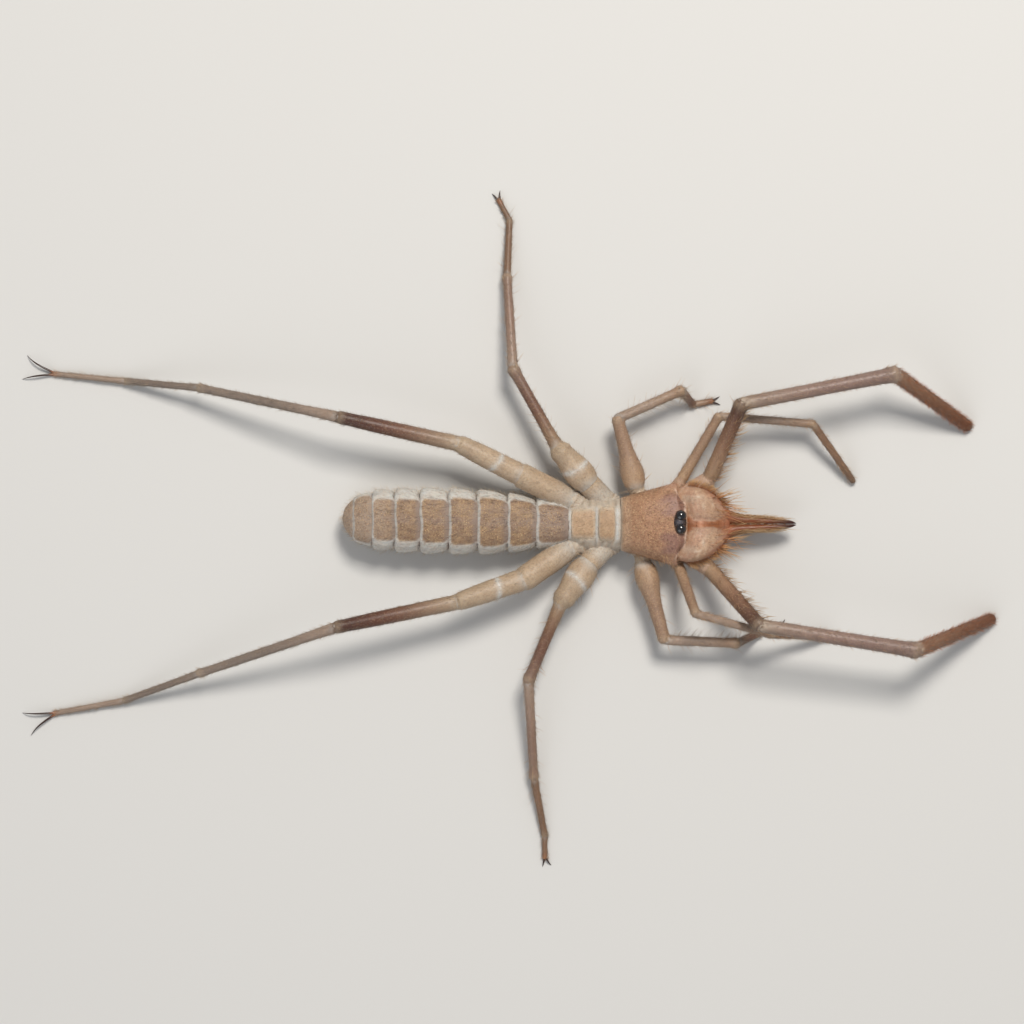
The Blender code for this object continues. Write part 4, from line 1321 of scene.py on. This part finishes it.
# Eyes and claws
def eyes(finish):
    """Two glossy balls sunk in the tubercle."""
    for side_name, side in SIDES.items():
        centre = TUBERCLE + (EYE_AHEAD, side * EYE_SPREAD, EYE_RAISED)
        name = f"eye_{side_name}_ball"
        shape = ball(name, centre, EYE_RADIUS, EYE_RIM, (0, 0, 1), EYE_ROWS, EYE_COLUMNS)
        eye = mesh_object(shape.name, shape.flat, shape.faces())
        eye.data.shade_smooth()
        eye.data.materials.append(finish)
        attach(eye, "root")
        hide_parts(f"eye_{side_name}")


CLAW_HALF_SPREAD = 20
CLAW_TURN = {"left": -6, "right": 10}
CLAW_RADIUS = 0.12
CLAW_SUNK = 0.35
CLAW_ARCH = 0.12
CLAW_BOW = 0.4
CLAW_TAPER = 0.88
CLAW_ROWS = 22
CLAW_COLUMNS = 10


def claw_shape(leg, side_name, spread):
    """One long curved claw that grows out of a foot's tip."""
    joints = leg.joints(side_name)
    along = unit((joints[-1] - joints[-2]) * (1, 1, 0))
    turned = math.atan2(along[1], along[0]) + math.radians(spread + CLAW_TURN[side_name])
    way = np.array((math.cos(turned), math.sin(turned), 0))
    share = np.linspace(0, 1, CLAW_ROWS)
    arch = np.sin(np.pi * share)
    start = joints[-1] - along * CLAW_SUNK
    points = start + way * ((leg.claws + CLAW_SUNK) * share)[:, None]
    points += along * (CLAW_SUNK * arch * leg.claws * CLAW_BOW)[:, None]
    radius = CLAW_RADIUS * (1 - CLAW_TAPER * share**1.6)
    points[:, 2] = start[2] * (1 - share) + leg.claws * CLAW_ARCH * arch + radius * share
    points[:, 2] = np.maximum(points[:, 2], radius)
    colour = blend(FOOT_ORANGE, CLAW_BROWN, smoothstep(0.08, 0.2, share))
    name = f"claw_{leg.name}_{side_name}_{spread}"
    return tube(name, points, radius, radius * 1.15, colour[:, None], (0, 0, 1), CLAW_COLUMNS)


def claws(finish):
    """All the claws, two to a foot, as one piece that is kept apart from the skin."""
    shapes = []
    for leg in LEGS:
        for side_name in SIDES:
            for spread in (-CLAW_HALF_SPREAD, CLAW_HALF_SPREAD) if leg.claws else ():
                shapes.append(claw_shape(leg, side_name, spread))
    points, faces, count = [], [], 0
    for shape in shapes:
        points.append(shape.flat)
        faces += [[corner + count for corner in face] for face in shape.faces()]
        count += len(points[-1])
    made = mesh_object("claws", np.concatenate(points), faces)
    copy_paint(made.data, shapes)
    made.data.shade_smooth()
    made.data.materials.append(finish)
    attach(made, "root")
    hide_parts(*(f"{leg.name}_{side_name}_foot" for leg in LEGS if leg.claws for side_name in SIDES))


# Coat: every bristle is a thin tapered rod with its root on a shape of the skin
CHART_CELLS = 11
CELL_SHARE = 0.9
PATCH = 0.003
ROOT_DEPTH = 0.06
SKIN_REACH = 0.035
ROD_TAPER = 0.68
ROD_TURNS = (0.0, 2.094, 4.189)
TURN_WHOLE = 6.3
ROD_AXIS = (0.13, 0.21, 0.97)
HIGHEST = cad_bounds[1].z / MM + 0.2


class Coat:
    """Bristles gathered for one mesh."""

    def __init__(self, name, levels):
        self.name = name
        self.levels = levels
        self.batches = []

    def grow(self, shape, count, where, length, radius, lie, colours, bow, spread):
        """Adds count bristles on a shape where the weights say, each leaning as lie says.

        lie holds how far a bristle leans along the shape and outwards, and bow is how far its
        tip bends along the shape, in lengths.
        """
        points = shape.points
        along, outward, around = shape.directions()
        tall = np.linalg.norm(points[1:] - points[:-1], axis=-1)
        wide = np.linalg.norm(np.roll(points, -1, axis=1) - points, axis=-1)[:-1]
        weights = (tall * wide * np.broadcast_to(where, points.shape[:2])[:-1]).ravel()
        rows, columns = points.shape[:2]
        picked = CHANCE.choice(len(weights), int(count), p=weights / weights.sum())
        row, column = np.divmod(picked, columns)
        down, over = CHANCE.random(len(picked)), CHANCE.random(len(picked))
        after = (column + 1) % columns

        def read(grid):
            """The values of a grid at every root."""
            top = grid[row, column] * (1 - over[:, None]) + grid[row, after] * over[:, None]
            low = grid[row + 1, column] * (1 - over[:, None]) + grid[row + 1, after] * over[:, None]
            return top * (1 - down[:, None]) + low * down[:, None]

        root, paint = read(points), read(shape.colour)
        ways = [read(grid) for grid in (along, outward, around)]
        lean = np.array((*lie, 0)) + CHANCE.normal(scale=spread, size=(len(picked), 3))
        way = unit(sum(lean[:, k : k + 1] * ways[k] for k in range(3)))
        long = length * CHANCE.uniform(0.7, 1.2, len(picked))
        bend = ways[0] * (bow * long)[:, None]
        first, second, own = colours
        root_colour = first * (1 - own) + paint * own
        tip_colour = second * (1 - own) + paint * own * 1.1
        tone = CHANCE.uniform(0.8, 1.15, (len(picked), 1))
        cell = np.array(divmod(shape.cell, CHART_CELLS)) / CHART_CELLS
        spot = np.stack(((row + down) / rows, (column + over) / columns), axis=-1)
        spot = spot * CELL_SHARE / CHART_CELLS
        thick = radius * CHANCE.uniform(0.75, 1.2, len(picked))
        tints = (root_colour * tone, tip_colour * tone)
        self.batches.append((root, way, long, bend, thick, *tints, cell + spot))

    def mesh(self, skin_tree, finish):
        """The bristles as one mesh, less those rooted under the skin or too low or too high."""
        batch = [np.concatenate(parts) for parts in zip(*self.batches)]
        root, way, long, bend, radius = batch[:5]
        tip = root + way * long[:, None] + bend
        middle = root + way * long[:, None] * 0.5 + bend * 0.25
        lowest = np.minimum(np.minimum(tip, middle), root - way * ROOT_DEPTH)[:, 2]
        keep = (lowest > 1.2 * radius) & (tip[:, 2] < HIGHEST)
        for number in np.nonzero(keep)[0]:
            near = skin_tree.find_nearest(to_frame(root[number]))
            keep[number] = near[3] < SKIN_REACH * MM
        root, way, long, bend, radius, first, second, spot = (values[keep] for values in batch)
        count, sides = len(root), len(ROD_TURNS)
        across = unit(np.cross(way, ROD_AXIS))
        over = np.cross(way, across)
        shares = np.linspace(0, 1, self.levels + 1)[:-1]
        rings, tints, places = [], [], []
        for share in shares:
            far = long * share - (ROOT_DEPTH if share == 0 else 0)
            centre = root + way * far[:, None] + bend * share**2
            thick = radius * (1 - ROD_TAPER * share)
            for turn in ROD_TURNS:
                offset = across * (thick * math.cos(turn))[:, None]
                offset = offset + over * (thick * math.sin(turn))[:, None]
                rings.append(centre + offset)
                tints.append(first * (1 - share) + second * share)
                places.append(spot + (PATCH * turn / TURN_WHOLE, PATCH * share))
        rings.append(root + way * long[:, None] + bend)
        tints.append(second)
        places.append(spot + (PATCH / 2, PATCH))
        each = len(rings)
        points = np.stack(rings, axis=1).reshape(-1, 3)
        pattern = []
        for level in range(self.levels - 1):
            for i in range(sides):
                j = (i + 1) % sides
                low, high = level * sides, (level + 1) * sides
                pattern += [(low + i, low + j, high + j), (low + i, high + j, high + i)]
        top, tip = (self.levels - 1) * sides, each - 1
        pattern += [(top, top + 1, tip), (top + 1, top + 2, tip), (top + 2, top, tip), (2, 1, 0)]
        corners = (np.arange(count)[:, None, None] * each + np.array(pattern)[None]).reshape(-1, 3)
        mesh = bpy.data.meshes.new(self.name)
        mesh.from_pydata(to_frame(points), [], corners.tolist())
        add_layer(mesh, "paint", np.clip(np.stack(tints, axis=1).reshape(-1, 3), 0, 1))
        chart = mesh.uv_layers.new(name="OFBake")
        flat = np.stack(places, axis=1).reshape(-1, 2)[corners.ravel()]
        chart.data.foreach_set("uv", flat.ravel())
        mesh.shade_smooth()
        mesh.materials.append(finish)
        made = placed(self.name, mesh)
        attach(made, "root")
        print(self.name, count, "bristles", len(corners), "triangles")
        return made


def by_name(text):
    """The shapes whose names begin with text."""
    return [shape for shape in Shape.made if shape.name.startswith(text)]


def grow_coat(skin, finish):
    """Every bristle of the animal, in a few meshes."""
    tree = BVHTree.FromObject(skin, bpy.context.evaluated_depsgraph_get())
    gold = (AMBER, PALE_GOLD, 0.1)
    orange = (BRIGHT_ORANGE, PALE_ORANGE, 0.05)
    white = (PALE_GOLD, WHITE_SIDE, 0.3)
    pale = (GOLD, PALE_GOLD, 0.3)
    own = (GOLD, PALE_GOLD, 1.0)

    jaw_coat = Coat("coat_jaws", 4)
    for shape in by_name("chelicera"):
        x, y, z = shape.axes
        y = np.abs(y)
        level = hump(shape.directions()[1][..., 2], 0, 0.45) * (y > 0.9)
        corner = hump(x, 9.9, 0.5) * level
        jaw_coat.grow(shape, 16, corner, 2.5, 0.044, (0.35, 1.0), orange, 0.04, 0.15)
        front = hump(x, 10.5, 0.35) * level
        jaw_coat.grow(shape, 14, front, 3.0, 0.044, (0.8, 0.8), orange, 0.04, 0.15)
        rough = hump(x, 10.0, 0.7) * (z > 2)
        jaw_coat.grow(shape, 110, rough, 0.7, 0.022, (1.1, 0.8), orange, 0.15, 0.3)
        comb = hump(z, 3.6, 0.5) * (y > 1.9) * (x > 6.6) * (x < 10.3)
        jaw_coat.grow(shape, 260, comb, 0.9, 0.03, (0.45, 1.0), orange, 0.15, 0.2)
        back = (x > 6.6) * (x < 10) * (z > 3)
        jaw_coat.grow(shape, 330, back, 0.3, 0.014, (1.0, 0.8), own, 0.2, 0.3)
        finger = smoothstep(10.6, 11.4, x) * fall(15.5, 17.2, x)
        outward = finger * smoothstep(0.55, 0.8, y / np.maximum(y.max(axis=1, keepdims=True), 0.1))
        jaw_coat.grow(shape, 170, outward, 1.5, 0.022, (1.8, 0.33), gold, 0.05, 0.12)
        jaw_coat.grow(shape, 70, finger * (z > 3), 0.9, 0.02, (1.8, 0.28), gold, 0.05, 0.12)
    for shape in by_name("lower_finger"):
        x, y, _ = shape.axes
        finger = smoothstep(10.4, 11.4, x) * fall(15.0, 16.5, x) * (np.abs(y) > 0.3)
        jaw_coat.grow(shape, 110, finger, 1.2, 0.022, (1.6, 0.35), gold, 0.08, 0.15)

    body_coat = Coat("coat_body", 3)
    (head,) = by_name("head_shield")
    _, y, z = head.axes
    body_coat.grow(head, 1500, z > HEAD_EDGE + 0.1, 0.28, 0.014, (0.9, 0.7), own, 0.2, 0.35)
    lobes = (z > HEAD_EDGE - 0.1) * (np.abs(y) > 3.0)
    body_coat.grow(head, 60, lobes, 0.9, 0.02, (0.3, 1), pale, 0.2, 0.4)
    (belly,) = by_name("abdomen")
    x, _, z = belly.axes
    flank = hump(z, 2.2, 1.2) * (x < -8)
    body_coat.grow(belly, 1500, flank, 0.65, 0.013, (0.55, 0.9), white, 0.25, 0.35)
    body_coat.grow(belly, 1300, z > 4, 0.5, 0.015, (1.1, 0.6), own, 0.25, 0.35)
    body_coat.grow(belly, 900, z < 2.4, 0.6, 0.016, (0.8, 0.6), pale, 0.25, 0.35)
    for shape in by_name("thorax_plate"):
        body_coat.grow(shape, 130, 1.0, 0.35, 0.014, (-0.9, 0.7), own, -0.2, 0.35)

    leg_coats = {}
    for side_name in SIDES:
        long_coat = Coat(f"coat_legs_{side_name}_long", 4)
        short_coat = Coat(f"coat_legs_{side_name}_short", 2)
        for leg in LEGS:
            for run in range(len(leg.runs)):
                leg_bristles(leg, side_name, run, long_coat, short_coat)
        leg_coats[side_name] = (long_coat, short_coat)

    jaw_coat.mesh(tree, finish)
    body_coat.mesh(tree, finish)
    for pair in leg_coats.values():
        for coat in pair:
            coat.mesh(tree, finish)


def leg_bristles(leg, side_name, run, long_coat, short_coat):
    """The short down and the long bristles of one stretch of a leg."""
    (shape,) = by_name(f"{leg.name}_{side_name}_{run}")
    length = leg.runs[run][0]
    own = (PALE_MAUVE, CREAM, 0.7)
    gold = (AMBER, PALE_GOLD, 0.15)
    pale = (PALE_TAN, PALE_GOLD, 0.4)
    white = (PALE_TAN, WHITE_SIDE, 0.2)
    short_coat.grow(shape, 95 * length, 1.0, 0.3, 0.012, (1.0, 0.55), own, 0.2, 0.35)
    turn = turns(LEG_COLUMNS)
    flanks = 0.25 + np.abs(np.cos(turn))
    under = 0.3 + np.maximum(-np.sin(turn), 0)
    inner = np.maximum(-np.cos(turn) * SIDES[side_name], 0) ** 1.5
    if leg is PEDIPALP:
        if run == 2:
            long_coat.grow(shape, 64, inner, 1.3, 0.038, (0.5, 1.0), gold, 0.4, 0.25)
            long_coat.grow(shape, 160, 0.3 + inner, 0.8, 0.022, (0.7, 0.9), gold, 0.3, 0.3)
        if run == 3:
            long_coat.grow(shape, 260, 0.2 + flanks, 0.5, 0.016, (0.9, 0.8), gold, 0.2, 0.3)
        if run == 4:
            rust = (ORANGE * 0.75, PALE_RUST, 0.15)
            long_coat.grow(shape, 900, flanks, 0.45, 0.018, (0.9, 0.85), rust, 0.2, 0.3)
    elif leg is LEG_1:
        long_coat.grow(shape, 14 * length, flanks, 0.6, 0.016, (0.9, 0.8), gold, 0.2, 0.3)
    else:
        long_coat.grow(shape, 16 * length, flanks, 0.45, 0.013, (0.9, 0.8), pale, 0.2, 0.3)
        if run >= 1 and leg is not LEG_4:
            long_coat.grow(shape, 4 * length, under, 1.1, 0.02, (0.5, 1.0), gold, 0.25, 0.25)
        if run in (2, 3) and leg is LEG_2:
            long_coat.grow(shape, 15 * length, inner, 1.2, 0.014, (0.4, 1.0), white, 0.3, 0.15)
    crown = np.zeros(shape.points.shape[:2])
    crown[-8:-5] = 1
    long_coat.grow(shape, 18, crown, 0.3, 0.016, (0.5, 1.0), pale, 0.1, 0.2)


# Stage, light and camera
CAMERA_HEIGHT = 450
FIELD = 107.5
CAMERA_FROM_WAIST = (-11.55, 1.26)
SENSOR = 36
NEAREST_SEEN = 0.01
FLOOR_REACH = 1.5
FLOOR_COLOUR = (0.62, 0.61, 0.59, 1)
# The place in metres, the size, the power in watts and the colour of each light
KEY_LIGHT = ((0.09, 0.24, 0.42), 0.14, 2.15, (1.0, 0.96, 0.9))
FILL_LIGHT = ((-0.2, -0.32, 0.32), 0.4, 0.6, (0.94, 0.96, 1.0))
SKY_COLOUR = (0.95, 0.97, 1.0, 1)
SKY_STRENGTH = 0.35


def stage():
    """A plain pale floor."""
    mesh = bpy.data.meshes.new("floor")
    signs = ((-1, -1), (1, -1), (1, 1), (-1, 1))
    corners = [(x * FLOOR_REACH, y * FLOOR_REACH, 0) for x, y in signs]
    mesh.from_pydata(corners, [], [(0, 1, 2, 3)])
    floor = placed("floor", mesh)
    nodes = Nodes("floor_paint")
    nodes.fill(nodes.shader, {"Base Color": FLOOR_COLOUR, "Roughness": 0.8})
    mesh.materials.append(nodes.material)


def aimed(holder, target):
    """Turns a light or camera to look at a point."""
    holder.rotation_euler = (Vector(target) - holder.location).to_track_quat("-Z", "Y").to_euler()


def area_light(name, place, size, watts, colour):
    """A soft square light that looks at the middle of the animal."""
    data = bpy.data.lights.new(name, "AREA")
    data.size = size
    data.energy = watts
    data.color = colour
    light = placed(name, data)
    light.location = place
    aimed(light, (0, 0, 0))


def lights_and_camera():
    """One soft key light from beyond the animal's left side, a weak fill, and the camera above."""
    area_light("key_light", *KEY_LIGHT)
    area_light("fill_light", *FILL_LIGHT)
    world = bpy.data.worlds.new("studio")
    world.use_nodes = True
    sky = world.node_tree.nodes["Background"]
    sky.inputs["Color"].default_value = SKY_COLOUR
    sky.inputs["Strength"].default_value = SKY_STRENGTH
    bpy.context.scene.world = world
    data = bpy.data.cameras.new("camera")
    data.sensor_width = SENSOR
    data.lens = SENSOR * CAMERA_HEIGHT / FIELD
    data.clip_start = NEAREST_SEEN
    camera = placed("camera", data)
    camera.location = to_frame((*CAMERA_FROM_WAIST, CAMERA_HEIGHT))
    bpy.context.scene.camera = camera
    bpy.context.scene.view_settings.view_transform = "Standard"


def main():
    """The skin, the eyes, the claws and the coat, then the stage, the lights and the camera."""
    shapes = [head_shield(), tubercle(), thorax(), under_head(), abdomen(), jaw_bridge()]
    shapes += [thorax_plate(index, *plate) for index, plate in enumerate(PLATES)]
    for side_name in SIDES:
        shapes += chelicera(side_name)
        shapes += racket_organs(side_name)
        for leg in LEGS:
            joints = leg.joints(side_name)
            shapes.append(coxa(leg, side_name, joints))
            if leg in (LEG_2, LEG_3, LEG_4):
                shapes.append(shoulder(leg, side_name, joints))
            shapes += [leg_run(leg, side_name, run, joints) for run in range(len(leg.runs))]
    skin = union("skin", shapes)
    skin.data.materials.append(skin_material())
    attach(skin, "root")
    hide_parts(*(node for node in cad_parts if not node.startswith("eye_")))
    triangles = sum(len(face.vertices) - 2 for face in skin.data.polygons)
    print("skin triangles", triangles, "shapes", len(Shape.made))
    eyes(eye_material())
    claws(claw_material())
    grow_coat(skin, hair_material())
    stage()
    lights_and_camera()


main()
